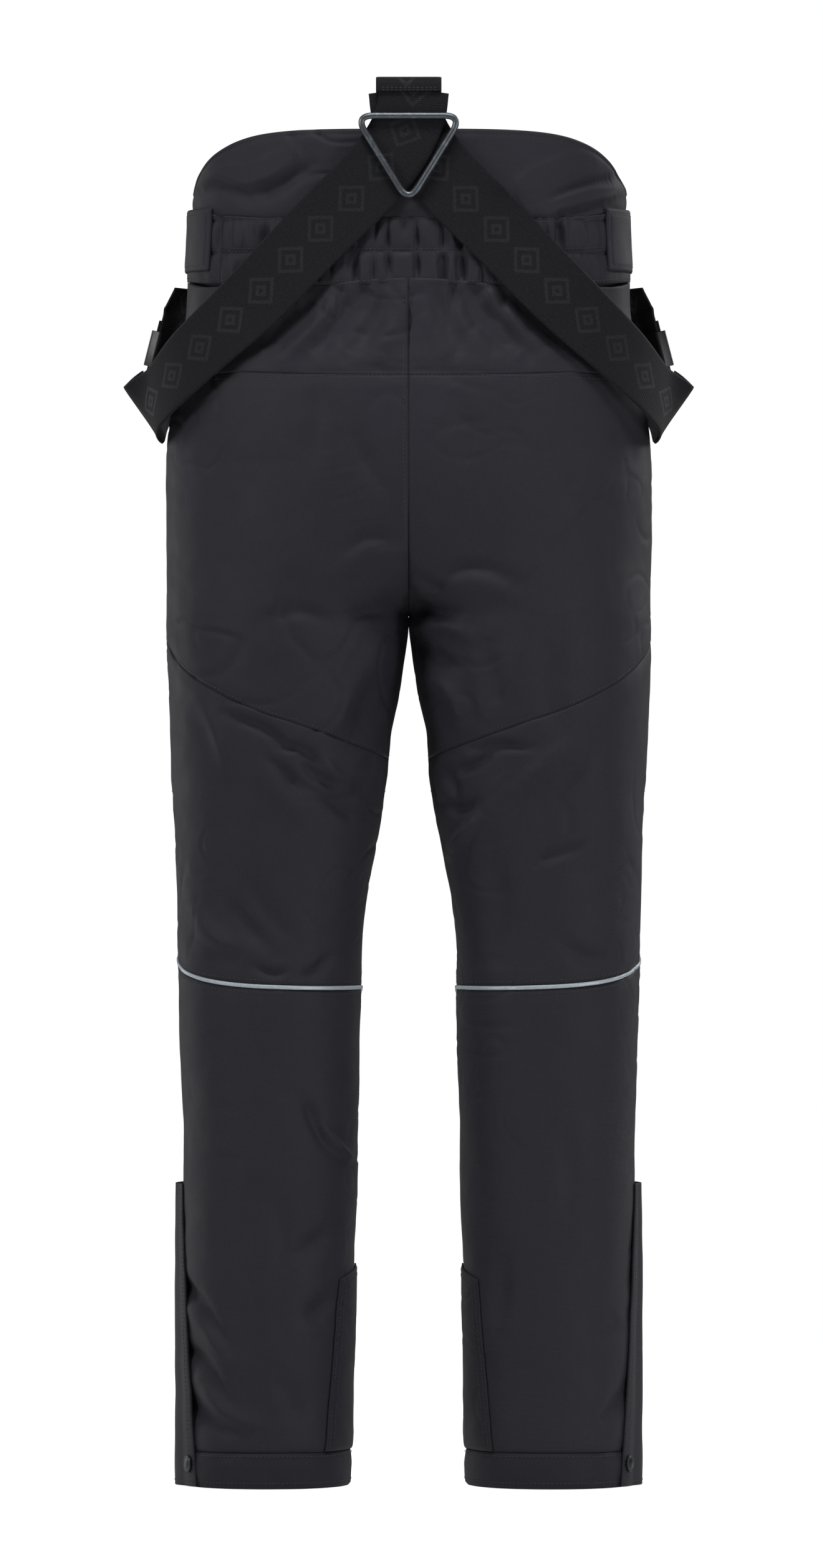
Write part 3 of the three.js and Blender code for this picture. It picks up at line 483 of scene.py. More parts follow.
def woven(name, dark, light, pitch_mm, depth_mm, roughness, sheen):
    """Plain-weave cloth on the piece's own UV map, which is in metres."""
    material, tree, shader = new_material(
        name, Sheen_Weight=sheen, Sheen_Roughness=0.45, Specular_IOR_Level=0.22
    )
    uv = add(tree, "UVMap", {"uv_map": "cloth"}).outputs["UV"]
    weave = maths(tree, "MULTIPLY", wave_mm(tree, uv, pitch_mm, "X"), wave_mm(tree, uv, pitch_mm, "Y"))
    mottle = grain_of(tree, uv, 38, 4.0, Roughness=0.6)
    speck = grain_of(tree, uv, 2.2, 2.0)
    share = maths(tree, "MULTIPLY_ADD", speck, 0.5, -0.02)
    share = maths(tree, "MULTIPLY_ADD", mottle, 0.55, share)
    colour = blend_colours(tree, share, dark, light)
    rough = spread(tree, mottle, roughness - 0.07, roughness + 0.07, 0.3, 0.7)
    plug_in(tree, shader, colour, rough, 0.5, depth_mm, weave)
    return material


# Coated polyester plain weave: a dry, faintly blue black with a soft sheen. Threads lie 0.3 mm
# apart on the cloth and are drawn at 0.9 mm so that they show.
shell_cloth = woven("coated_polyester_plain_weave", "#1c1b21", "#2a2830", 0.9, 0.10, 0.66, 0.02)
# Tougher nylon on knees, hems and kick patches: a coarser weave and a little darker.
tough_cloth = woven("abrasion_resistant_nylon", "#19181e", "#25242c", 1.3, 0.14, 0.68, 0.02)
# Taffeta lining: finer and smoother, so it shines a little more.
lining_cloth = woven("lining_taffeta", "#17171b", "#232328", 0.7, 0.05, 0.46, 0.05)
# Tape under the zips: matt, and darker than the shell.
zip_cloth = woven("twill_zip_tape", "#111114", "#1c1c20", 1.0, 0.15, 0.8, 0.05)


def elastic_webbing():
    """Woven elastic: cross ribs 1.5 mm apart and a tonal pattern of nested diamonds."""
    material, tree, shader = new_material(
        "woven_elastic_webbing", Sheen_Weight=0.03, Specular_IOR_Level=0.25
    )
    uv = add(tree, "UVMap", {"uv_map": "cloth"}).outputs["UV"]
    parts = add(tree, "SeparateXYZ", Vector=uv)
    along, across = parts.outputs[0], parts.outputs[1]
    half_repeat, half_diamond = 15.5 * MM, 15 * MM
    cell = maths(tree, "PINGPONG", along, half_repeat)
    along_share = maths(tree, "DIVIDE", cell, half_repeat)
    from_centre = maths(tree, "ABSOLUTE", maths(tree, "SUBTRACT", across, WEB * MM / 2))
    across_share = maths(tree, "DIVIDE", from_centre, half_diamond)
    diamond = maths(tree, "ADD", along_share, across_share)
    rings = maths(tree, "GREATER_THAN", maths(tree, "PINGPONG", diamond, 0.25), 0.14)
    motif = maths(tree, "MULTIPLY", rings, maths(tree, "LESS_THAN", diamond, 1.0))
    share = spread(tree, grain_of(tree, uv, 1.6, 3.0), 0.0, 0.9, 0.3, 0.7)
    colour = add(tree, "Mix", {"data_type": "RGBA"}, _0=motif)
    tree.links.new(blend_colours(tree, share, "#08080c", "#17161c"), colour.inputs[6])
    tree.links.new(blend_colours(tree, share, "#0c0d10", "#1e1f24"), colour.inputs[7])
    height = maths(tree, "MULTIPLY_ADD", motif, 0.6, wave_mm(tree, uv, 1.5, "X"))
    plug_in(tree, shader, colour.outputs[2], spread(tree, motif, 0.88, 0.7), 0.6, 0.22, height)
    return material


def grained(name, dark, light, cloud_mm, grain_mm, rough, strength, depth_mm, detail=2.0, **values):
    """A plain surface: clouds in its colour and gloss, and a grain in its relief."""
    material, tree, shader = new_material(name, **values)
    place = add(tree, "TexCoord").outputs["Object"]
    cloud = grain_of(tree, place, cloud_mm, detail)
    gloss = spread(tree, cloud, *rough) if rough else None
    colour = blend_colours(tree, cloud, dark, light)
    plug_in(tree, shader, colour, gloss, strength, depth_mm, grain_of(tree, place, grain_mm, detail))
    return material


def coated(name, dark, rubbed):
    """A satin coat over cast or drawn metal: a fine orange peel, rubbed lighter in spots."""
    material, tree, shader = new_material(name, Metallic=0.75)
    place = add(tree, "TexCoord").outputs["Object"]
    peel = grain_of(tree, place, 0.9, 2.0)
    wear = grain_of(tree, place, 7, 5.0, Roughness=0.7)
    colour = blend_colours(tree, spread(tree, wear, 0.0, 1.0, 0.5, 0.75), dark, rubbed)
    plug_in(tree, shader, colour, spread(tree, wear, 0.3, 0.5), 0.35, 0.12, peel)
    return material


brace_elastic = elastic_webbing()
# Glass-bead tape: mid grey, satin, with a very fine grain.
reflective = grained(
    "retroreflective_tape", "#8f989f", "#b9c2c9", 1.4, 1.4, (0.38, 0.55), 0.3, 0.05, Metallic=0.25
)
# Wire with a thin nickel coat, so it is bright; snaps and sliders have dark powder coat.
nickel_wire = coated("satin_nickel_wire", "#5a5f64", "#878d93")
coated_metal = coated("satin_powder_coat", "#24272a", "#4a4f54")
# Moulded acetal: black, half gloss, with a fine spark-eroded texture.
plastic = grained("moulded_acetal", "#0d0d0f", "#1b1b1e", 9, 0.7, (0.32, 0.5), 0.25, 0.06, IOR=1.48)
# Polyester sewing thread: dark grey, twisted, a little lighter than the cloth it lies on.
sewing_thread = grained(
    "polyester_sewing_thread", "#1e1d23", "#302f36", 0.8, 0.8, None, 0.4, 0.1, detail=1.0,
    Sheen_Weight=0.05, Roughness=0.55,
)


# ------------------------------------------------------------------ mesh helpers
def finish_piece(piece, body, slot, nodes):
    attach(piece, body)
    if nodes:
        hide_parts(*nodes)
    return piece


def object_of(bm, name, material):
    mesh = bpy.data.meshes.new(name)
    bm.to_mesh(mesh)
    bm.free()
    mesh.shade_smooth()
    mesh.materials.append(material)
    piece = bpy.data.objects.new(name, mesh)
    bpy.context.collection.objects.link(piece)
    return piece


def cloth_sheet(name, cells, place, size, material, thickness=SHELL, outward=None, offset=-1):
    """A grid of cells laid out by place(u, v), both from 0 to 1, in metres. size is its cut size."""
    bm = bmesh.new()
    bmesh.ops.create_grid(bm, x_segments=cells[0], y_segments=cells[1], size=0.5)
    piece = object_of(bm, name, material)
    mesh = piece.data
    flat = np.empty(3 * len(mesh.vertices))
    mesh.vertices.foreach_get("co", flat)
    u, v = flat[0::3] + 0.5, flat[1::3] + 0.5
    at = place(u, v)
    mesh.vertices.foreach_set("co", at.ravel())
    corner_vertex = np.empty(len(mesh.loops), int)
    mesh.loops.foreach_get("vertex_index", corner_vertex)
    uv = np.stack([u * size[0], v * size[1]], -1)[corner_vertex]
    mesh.uv_layers.new(name="cloth").data.foreach_set("uv", uv.ravel())
    mesh.update()
    every = max(len(mesh.polygons) // 200, 1)  # some 200 faces say which way the sheet faces
    facing = sum(p.normal.dot(Vector(outward(p.center))) for p in list(mesh.polygons)[::every])
    if facing < 0:
        mesh.flip_normals()
    solid = piece.modifiers.new("thickness", "SOLIDIFY")
    solid.thickness = thickness * MM
    solid.offset = offset
    return piece


def from_axis(side):
    """The way out of a leg or the seat at a point."""

    def outward(p):
        low = min(p.z / MM, 0)
        centre, _ = section(np.array(low))
        return (p.x - side * float(centre) * MM, p.y, 0)

    return outward


# ------------------------------------------------------------------ shell panels
SEAM_GAP = 0.05  # mm each side of a seam
ZIP_SLOT = 6.0  # mm each side of a zip


def cut_size(place):
    """The rectangle a panel is cut from: its longest ways across and up, in metres."""
    run = np.linspace(0, 1, 60)
    ways = []
    for across in (True, False):
        lines = []
        for k in (0.02, 0.5, 0.98):
            level = 0 * run + k
            lines.append(place(run, level) if across else place(level, run))
        ways.append(max(float(np.linalg.norm(np.diff(a, axis=0), axis=1).sum()) for a in lines))
    return tuple(ways)


def panel(name, side, face, lower, upper, cell_mm, material, slot, fly=False, low=SEAM_GAP,
          high=SEAM_GAP):
    """A shell panel between two seams that goes from the middle of the body to its side."""

    def place(u, v):
        edge = u * math.pi
        bottom, top = lower(edge) + low, upper(edge) - high
        z = bottom + (top - bottom) * v
        _, half_width = section(z)
        fly_open = fly & (z > -BAND - FLY_SLIT)
        first = np.where(fly_open, ZIP_SLOT, SEAM_GAP)
        last = np.where(z < HEM_Z + CUFF_SLIT, ZIP_SLOT, SEAM_GAP)
        start = seam_angle(z) + first / half_width
        end = math.pi - last / half_width
        angle = start + (end - start) * u
        at = skin(side, face, angle, z)
        drawn_in = np.exp(-80 * u) * (z > CROTCH_Z) * (1 - fly_open)
        at[:, 0] -= at[:, 0] * drawn_in
        return at

    size = cut_size(place)
    cells = [int(way / MM / cell_mm) for way in size]
    piece = cloth_sheet(name, cells, place, size, material, outward=from_axis(side))
    finish_piece(piece, "trousers", slot, [name.replace("cloth_", "")])


def hem_seam(angle):
    return HEM_Z + HEM_BAND + 0 * angle


FINE, COARSE = ((2.4, 3.6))

def knee_back(angle):
    return knee_seam(angle, BACK)


def knee_front(angle):
    return knee_seam(angle, FRONT)


YOKE_CELL = 1.6
PIPED = PIPING / 2  # mm that a panel stays off a seam that the piping covers
PANELS = [
    ("back_yoke", BACK, yoke_seam, band_low, YOKE_CELL, {}),
    ("back_seat", BACK, thigh_seam, yoke_seam, FINE, {}),
    ("back_thigh", BACK, knee_back, thigh_seam, FINE, {"low": PIPED}),
    ("back_calf", BACK, hem_seam, knee_back, FINE, {"high": PIPED}),
    ("front_upper", FRONT, front_knee_seam, band_low, COARSE, {"fly": True}),
    ("front_knee", FRONT, knee_front, front_knee_seam, COARSE, {"low": PIPED}),
    ("front_calf", FRONT, hem_seam, knee_front, COARSE, {"high": PIPED}),
]
for label, side in SIDES.items():
    for part, face, lower, upper, cell_mm, more in PANELS:
        tough = part == "front_knee"
        cloth, slot = (tough_cloth, "reinforced_fabric") if tough else (shell_cloth, "shell_fabric")
        panel(f"cloth_{part}_{label}", side, face, lower, upper, cell_mm, cloth, slot, **more)


# ------------------------------------------------------------------ waist
def high_back_height(x, z):
    folds = [
        (-2.4, 5, (-115, 17), (-97, 22), (-69, 38)),
        (-1.6, 4, (-150, 23), (-135, 26), (-115, 15)),
        (1.6, 6, (74, 20), (100, 34), (132, 46)),
        (1.8, 5, (88, 4), (117, 15), (154, 23)),
        (-1.8, 4, (96, 10), (120, 22), (150, 32)),
        (-1.4, 4, (106, 1), (124, 7), (143, 12)),
        (1.4, 6, (-140, 34), (-112, 32), (-84, 46)),
    ]
    return fold_height(folds, x, z)


def high_back_angle(u):
    return (0.035 + 0.93 * u) * math.pi


def high_back_low(angle):
    return band_top(angle) - 1.4


def high_back_top(angle):
    across = np.minimum(np.abs(np.cos(angle)), 1)
    return 13 + (HIGH_BACK - 13) * np.sqrt(1 - across**5)


def high_back_skin(u, v, lift=0.0):
    angle = high_back_angle(u)
    top, low = high_back_top(angle), high_back_low(angle)
    z = low + (top - low) * v
    at, out = shape(1, BACK, angle, z)
    x, y = at[:, 0], at[:, 1]
    height = 1.3 * ripple(x, y, z, 34, 5.2) + 0.3 * ripple(x, y, z, 13, 1.7)
    height += 2.0 * high_back_height(x, z) + 1.2 * creases(x, y, z, 40, 1.3)
    height -= 1.4 * near(z - low, 3.5) + 1.1 * near(top - z - 3.4, 1.6)
    height -= 1.6 * np.clip((1.5 - z + low) / 1.5, 0, 1)
    height -= 1.5 * np.clip(1 - (top - z) / 1.2, 0, 1)
    return MM * (at + out * (np.minimum(height, 0.9) + lift)[:, None])


def back_band_height(x, z):
    """Elastic in two channels: upright pleats over the stretch that is drawn in."""
    drawn = np.exp(-((x / 137) ** 10))
    channel = np.abs(np.sin(math.pi * (z + 0.5) / 23.7))
    height = -1.2 + 2.2 * channel**0.6
    height += drawn * (0.9 + 3.9 * channel) * pleats(x, z, 7.0, 2.0)
    return np.where(height > 0, 1.5 * np.tanh(height / 1.5), np.maximum(height, -4.6))


def back_band_angle(u):
    return (0.002 + 0.996 * u) * math.pi


def back_band_skin(u, v, lift=0.0):
    angle = back_band_angle(u)
    low, top = band_low(angle) + 0.1, band_top(angle) + 0.3
    z = low + (top - low) * v
    at, out = shape(1, BACK, angle, z)
    height = back_band_height(at[:, 0], z)
    return MM * (at + out * (height + lift)[:, None])


OVERLAP_START = math.pi / 2 - 15 / WAIST  # both front halves reach 15 mm past the middle


def front_band(side, over):
    """Half of the plain front waistband. The right half ends over the left one."""
    start = OVERLAP_START

    def place(u, v):
        angle = start + (0.998 * math.pi - start) * u
        low, top = band_low(angle) + 0.1, band_top(angle) - 0.15
        z = low + (top - low) * v
        at, out = shape(side, FRONT, angle, z)
        height = 0.4 * ripple(at[:, 0], at[:, 1], z, 30, 2.2)
        height -= 0.9 * near(z - low, 2.5) + 0.9 * near(top - z, 2.5)
        height += over * 3.3 * smooth(np.clip((0.45 - u) / 0.2, 0, 1))
        return MM * (at + out * height[:, None])

    return place


def from_middle(p):
    return (p.x, p.y, 0)


HALF_WAIST = 0.27  # m, half way round the waist along the cloth

high_back = cloth_sheet(
    "cloth_high_back_panel", (260, 44), high_back_skin, (2 * HALF_WAIST, HIGH_BACK * MM), shell_cloth,
    outward=from_middle,
)
finish_piece(high_back, "trousers", "shell_fabric", ["high_back_panel"])

back_band = cloth_sheet(
    "cloth_back_waistband", (420, 40), back_band_skin, (0.44, BAND * MM), shell_cloth,
    outward=from_middle,
)
finish_piece(back_band, "trousers", "waist_elastic", ["back_waistband"])

for label, side in SIDES.items():
    place = front_band(side, over=side == 1)
    band_piece = cloth_sheet(
        f"cloth_front_waistband_{label}", (110, 20), place, (0.215, BAND * MM), shell_cloth,
        outward=from_middle,
    )
    finish_piece(band_piece, "trousers", "shell_fabric", [f"front_waistband_{label}"])


TAB_SIZE = (0.12, 0.045)  # m


def tab_angle(u):
    return (0.845 + 0.355 * u) * math.pi


def waist_tab(side):
    """A hook-and-loop tab with round corners at its free front end."""

    def place(u, v):
        angle = tab_angle(u)
        rounding = 1 - 0.5 * np.clip((u - 0.9) / 0.1, 0, 1) ** 2.5
        z = -13.5 + 45 * (v - 0.5) * rounding
        at, out = shape(side, BACK, angle, z)
        edge = np.minimum(np.minimum(v, 1 - v) * 45, np.minimum(u, 1 - u) * 100)
        height = 3.0 - 0.9 * np.exp(-edge / 1.2) - 0.5 * near(edge - 3.4, 0.9)
        height += 0.35 * ripple(at[:, 0], at[:, 1], z, 16, 7.7)
        return MM * (at + out * height[:, None])

    return place


for label, side in SIDES.items():
    tab = cloth_sheet(
        f"cloth_waist_tab_{label}", (90, 36), waist_tab(side), TAB_SIZE, shell_cloth, 2.0, from_middle
    )
    finish_piece(tab, f"tab_{label}", "shell_fabric", [f"waist_tab_{label}"])


# ------------------------------------------------------------------ hems, patches, piping, lining
def around(side, turn, z, lift=0.0):
    """Points on a whole leg: turn is negative over the back, positive over the front."""
    on_back = (turn < 0)[:, None]
    turn = np.abs(turn)
    at = np.where(on_back, skin(side, BACK, turn, z), skin(side, FRONT, turn, z))
    out = np.where(on_back, shape(side, BACK, turn, z)[1], shape(side, FRONT, turn, z)[1])
    return at + MM * (lift + 0 * turn)[:, None] * out


def hem_band(side):
    def place(u, v):
        z = HEM_Z + (HEM_BAND - 0.2) * v
        _, half = section(z)
        end = math.pi - (ZIP_SLOT + 3 * np.clip(1 - v / 0.3, 0, 1) ** 2) / half
        turn = (2 * u - 1) * end
        lift = -1.6 * np.clip(1 - v * HEM_BAND / 2.2, 0, 1) ** 2 + 0.7 * np.sin(math.pi * v)
        return around(side, turn, z, lift)

    return place


def kick_patch(side):
    def place(u, v):
        half_turn = (0.27 - 0.07 * v) * math.pi
        turn = (2 * u - 1) * half_turn
        low = HEM_Z + HEM_BAND + 0.4
        high = HEM_Z + 160 - 10 * np.abs(2 * u - 1)
        edge = np.minimum(np.minimum(v, 1 - v) * 130, np.minimum(u, 1 - u) * 100)
        lift = 1.8 - 0.5 * np.exp(-edge / 0.8)
        return around(side, turn, low + (high - low) * v, lift)

    return place


def knee_piping(side):
    def place(u, v):
        turn = (2 * u - 1) * math.pi
        seam = np.where(turn < 0, knee_seam(np.abs(turn), BACK), knee_seam(np.abs(turn), FRONT))
        z = seam + (v - 0.5) * PIPING
        lift = 1.9 * np.sqrt(np.maximum(1 - (2 * v - 1) ** 2, 0)) - 0.4
        return around(side, turn, z, lift)

    return place


def leg_lining(side):
    def place(u, v):
        legs, seat = np.minimum(v / 0.47, 1), np.maximum(v - 0.47, 0) / 0.53
        foot = HEM_Z + HEM_BAND + 0.4
        z = foot + (CROTCH_Z - foot) * legs + (-BAND - 0.4 - CROTCH_Z) * seat
        crotch = 1 - smooth(np.clip((np.abs(z - CROTCH_Z - 45) - 55) / 55, 0, 1))
        _, half = section(z)
        ease = (0.6 + 50 * crotch) / np.maximum(half, 40)
        start = seam_angle(z) + ease
        end = 2 * math.pi - seam_angle(z) - ease - 12 / np.maximum(half, 40)
        angle = start + (end - start) * u
        cuff = 1 - np.clip((z - HEM_Z - 230) / 40, 0, 1)
        near_zip = 1 - np.clip((np.abs(angle - math.pi) - 0.25) / 0.3, 0, 1)
        at, out = shape(side, BACK, angle, z)
        depth = 6.4 + 2 * crotch + 2.2 * cuff * near_zip
        depth = depth - 0.5 * ripple(at[:, 0], at[:, 1], z, 24, 4.4)
        return MM * (at - out * depth[:, None])

    return place


def snow_gaiter(side):
    def place(u, v):
        turn = (2 * u - 1) * math.pi
        z = HEM_Z + 34 + 116 * v
        drawn = 12.4 + 6 * (1 - v) ** 2
        gathers = (1 - v) ** 1.5 * np.sin(turn * 26 + 3 * np.sin(turn * 5)) * 0.9
        at_back, out_back = shape(side, BACK, np.abs(turn), z)
        at_front, out_front = shape(side, FRONT, np.abs(turn), z)
        on_back = (turn < 0)[:, None]
        at = np.where(on_back, at_back, at_front)
        out = np.where(on_back, out_back, out_front)
        return MM * (at - out * (drawn - gathers)[:, None])

    return place


FOOT_WAY = 0.40  # m round a leg at the hem
HEM_SIZE = (FOOT_WAY, 0.026)
PATCH_SIZE = (0.11, 0.134)

for label, side in SIDES.items():
    out = from_axis(side)
    hem = cloth_sheet(
        f"cloth_hem_band_{label}", (200, 14), hem_band(side), HEM_SIZE, tough_cloth, 2.6, out
    )
    finish_piece(hem, "trousers", "reinforced_fabric", [f"hem_band_{label}"])
    patch = cloth_sheet(
        f"cloth_kick_patch_{label}", (80, 80), kick_patch(side), PATCH_SIZE, tough_cloth, 1.2, out
    )
    finish_piece(patch, "trousers", "reinforced_fabric", [f"kick_patch_{label}"])
    piping = cloth_sheet(
        f"tape_piping_{label}", (260, 8), knee_piping(side), (FOOT_WAY, 0.0036), reflective, 1.2, out
    )
    finish_piece(piping, "trousers", "reflective_piping", [f"reflective_piping_{label}"])
    lining = cloth_sheet(
        f"cloth_lining_{label}", (120, 200), leg_lining(side), (0.4, 0.84), lining_cloth, 0.8, out
    )
    finish_piece(lining, "trousers", "lining_fabric", [f"lining_{label}"])
    gaiter = cloth_sheet(
        f"cloth_snow_gaiter_{label}", (220, 20), snow_gaiter(side), (0.36, 0.116), lining_cloth, 0.8, out
    )
    finish_piece(gaiter, "trousers", "lining_fabric", [f"snow_gaiter_{label}"])


# ------------------------------------------------------------------ storm flaps
FLAP_WIDE = 70.0  # mm from the free edge to the sewn one


def flap_angle(u, v):
    rear = (0.79 + 0.15 * v) * math.pi
    return rear + (1.15 * math.pi - rear) * u


def flap_point(side, u, v, lift=0.0):
    z = HEM_Z + 0.5 + (FLAP_LENGTH - 0.5) * v
    angle = flap_angle(u, v)
    rise = 1.2 + 3.6 * smooth(np.clip((u - 0.22) / 0.2, 0, 1))
    sewn = smooth(np.clip((u - 0.86) / 0.14, 0, 1))
    at, out = shape(side, BACK, angle, z)
    edge = u * FLAP_WIDE
    puff = 0.5 * ripple(at[:, 0], at[:, 1], z, 26, 8.1)
    puff = puff - 0.4 * near(edge - 2.5, 0.8) - 0.5 * np.exp(-edge / 0.8)
    height = rise * (1 - sewn) + 0.3 * sewn + 1.6 + puff * (1 - sewn) + lift
    return MM * (at + out * height[:, None]), out


for label, side in SIDES.items():
    flap = cloth_sheet(
        f"cloth_storm_flap_{label}", (60, 130), lambda u, v: flap_point(side, u, v)[0],
        (0.075, FLAP_LENGTH * MM), shell_cloth, 1.6, from_axis(side),
    )
    finish_piece(flap, f"flap_{label}", "shell_fabric", [f"storm_flap_{label}"])


# ------------------------------------------------------------------ braces
LAYERS = {"right": 1.5, "left": 1.5 + WEB_THICK + 0.4}  # mm off the waistband: left over right
LOOP_WIDTH = WEB - 3
RIBBON_POINTS = 400  # points along the middle line of each webbing


def catmull_rom(points, count):
    """Centripetal curve through points, evenly sampled by station number."""
    p = np.array(points, float)
    p = np.vstack([2 * p[0] - p[1], p, 2 * p[-1] - p[-2]])
    t = np.linspace(0, len(p) - 3, count)
    i = np.minimum(t.astype(int), len(p) - 4)
    k = (t - i)[:, None]
    p0, p1, p2, p3 = p[i], p[i + 1], p[i + 2], p[i + 3]
    pairs = (p0, p1), (p1, p2), (p2, p3)
    span = [np.sqrt(np.linalg.norm(b - a, axis=1, keepdims=True)) for a, b in pairs]
    d1 = np.where(span[1] < 1e-4, 1, span[1])
    d0 = np.where(span[0] < 1e-4, d1, span[0])
    d2 = np.where(span[2] < 1e-4, d1, span[2])
    m1 = d1 * ((p1 - p0) / d0 - (p2 - p0) / (d0 + d1) + (p2 - p1) / d1)
    m2 = d1 * ((p2 - p1) / d1 - (p3 - p1) / (d1 + d2) + (p3 - p2) / d2)
    return (
        p1 + m1 * k + (3 * (p2 - p1) - 2 * m1 - m2) * k**2 + (2 * (p1 - p2) + m1 + m2) * k**3
    )


def station(side, angle, z, standoff):
    at, out = shape(side, BACK, np.array([angle]), np.array([float(z)]))
    return (at + out * standoff)[0], out[0]


def riser(side):
    low_at, low_out = station(side, 1.09 * math.pi, -124, FOLD_OUT + 3)
    high_at, _ = station(side, 1.09 * math.pi, -60, 12)
    return lambda k: (low_at + (high_at - low_at) * k, low_out)


FOLD_Z = -138.0
FOLD_OUT = 14.7 + float(outer_x(FOLD_Z - 0.415 * WEB) - outer_x(FOLD_Z))


def strap_stations(side, layer):
    half, top = WEB / 2, 101 - 0.18 * WEB
    down = np.array([0.0, -1, 0])
    cross = [(-0.16 * half, top), (-0.06 * half, top - 18), (0.28 * half, top - 38)]
    cross.append((0.96 * half, top - 40 - 0.84 * half))
    flat = [(np.array([side * x, -WAIST_BACK - layer, z]), down) for x, z in cross]
    hip_at, _ = station(side, math.pi, FOLD_Z, FOLD_OUT + 2)
    rise = riser(side)
    return flat + [
        station(side, 0.62 * math.pi, -9, layer + 0.7),
        station(side, 0.72 * math.pi, -55, 7),
        station(side, 0.85 * math.pi, -101, 12),
        station(side, 0.93 * math.pi, -127, FOLD_OUT),
        (hip_at, np.array([0.83 * side, 0, -0.55])),
        rise(0), rise(0.05), rise(0.12), rise(0.25), rise(0.5), rise(0.7), rise(0.82),
    ]


def webbing_stations(side):
    rise = riser(side)
    return [
        rise(0.2), rise(0.35), rise(0.7), rise(0.88), rise(1),
        station(side, 1.09 * math.pi, 2 - BAND, 4 + WEB_THICK),
    ]


def loop_stations():
    inside = WAIST_BACK - 3 - 0.3 - WEB_THICK
    outside = WAIST_BACK + LAYERS["left"] + WEB_THICK + 0.4
    middle, reach = (inside + outside) / 2, (outside - inside) / 2
    turn = 101 - WEB_THICK - reach
    rising = [(np.array([0, -inside, z]), np.array([0.0, 1, 0])) for z in (6, 0.5 * turn)]
    bend = []
    for i in range(7):
        a = math.pi * i / 6
        bend.append((
            np.array([0, -middle + reach * math.cos(a), turn + reach * math.sin(a)]),
            np.array([0, math.cos(a), math.sin(a)]),
        ))
    return rising + bend + [(np.array([0, -outside, 90.5]), np.array([0.0, -1, 0]))]


def ribbon_frame(stations, count):
    """Middle line, its own face direction and the direction across, for flat webbing."""
    line = catmull_rom([at for at, _ in stations], count)
    out = catmull_rom([o for _, o in stations], count)
    along = np.gradient(line, axis=0)
    along /= np.linalg.norm(along, axis=1, keepdims=True)
    out -= along * (out * along).sum(1, keepdims=True)
    out /= np.linalg.norm(out, axis=1, keepdims=True)
    across = np.cross(along, out)
    return line, out, across


def webbing_piece(name, stations, width, lift, cells, bow=None):
    """Flat elastic webbing. lift is its outer face in mm, bow(u, v) an extra height in mm."""
    line, out, across = ribbon_frame(stations, RIBBON_POINTS)
    step = np.linalg.norm(np.diff(line, axis=0), axis=1)
    way = np.concatenate([[0], np.cumsum(step)])
    total = way[-1] * MM

    def place(u, v):
        at, o, a = (read_along(u, way / way[-1], values) for values in (line, out, across))
        height = lift + (bow(u, v) if bow else 0) + 0 * u
        height = height - 0.35 * np.exp(-np.minimum(v, 1 - v) * width / 0.7)
        return MM * (at + a * ((v - 0.5) * width)[:, None] + o * height[:, None])

    def outward(p):
        i = int(np.argmin(((line * MM - np.array(p)) ** 2).sum(1)))
        return tuple(out[i])

    piece = cloth_sheet(name, cells, place, (total, width * MM), brace_elastic, WEB_THICK, outward)
    return piece, total


def strap_bow(side):
    """The free stretch ripples a little. The right strap's upper edge buckles near the ring, and
    both stand off a little at the hip, just past the fold."""

    def bow(u, v):
        free = np.clip((u - 0.34) / 0.1, 0, 1) * np.clip((0.78 - u) / 0.1, 0, 1)
        wave = 0.8 * np.sin(u * 23 + side) * (v - 0.5) + 0.5 * np.sin(u * 15 + 1.3 * side)
        edge = v if side == 1 else 1 - v
        buckle = 2.4 * np.exp(-(((u - 0.235) / 0.03) ** 2)) * np.clip(1 - edge * 3, 0, 1) ** 2
        slack = 3.6 * np.exp(-(((u - 0.84) / 0.045) ** 2)) * np.clip(1.3 - 2 * edge, 0, 1)
        return free * wave + slack + (buckle if side == 1 else 0)

    return bow


for label, side in SIDES.items():
    stations = strap_stations(side, LAYERS[label])
    strap, way = webbing_piece(
        f"webbing_shoulder_strap_{label}", stations, WEB, WEB_THICK, (420, 34), strap_bow(side)
    )
    finish_piece(strap, "trousers", "brace_elastic", [f"shoulder_strap_{label}"])
    front, way = webbing_piece(
        f"webbing_front_{label}", webbing_stations(side), WEB, -0.4, (120, 30)
    )
    finish_piece(front, "trousers", "brace_elastic", [f"front_webbing_{label}"])

loop_piece, way = webbing_piece(
    "webbing_centre_loop", loop_stations(), LOOP_WIDTH, WEB_THICK, (160, 32)
)
finish_piece(loop_piece, "trousers", "brace_elastic", ["centre_back_loop"])


# ------------------------------------------------------------------ ring, snaps, adjusters, zips
RING_ROD = 2.3  # half the wire's thickness
RING_WIDE, RING_TALL, RING_TOP = 72.5, 62.5, 75.0


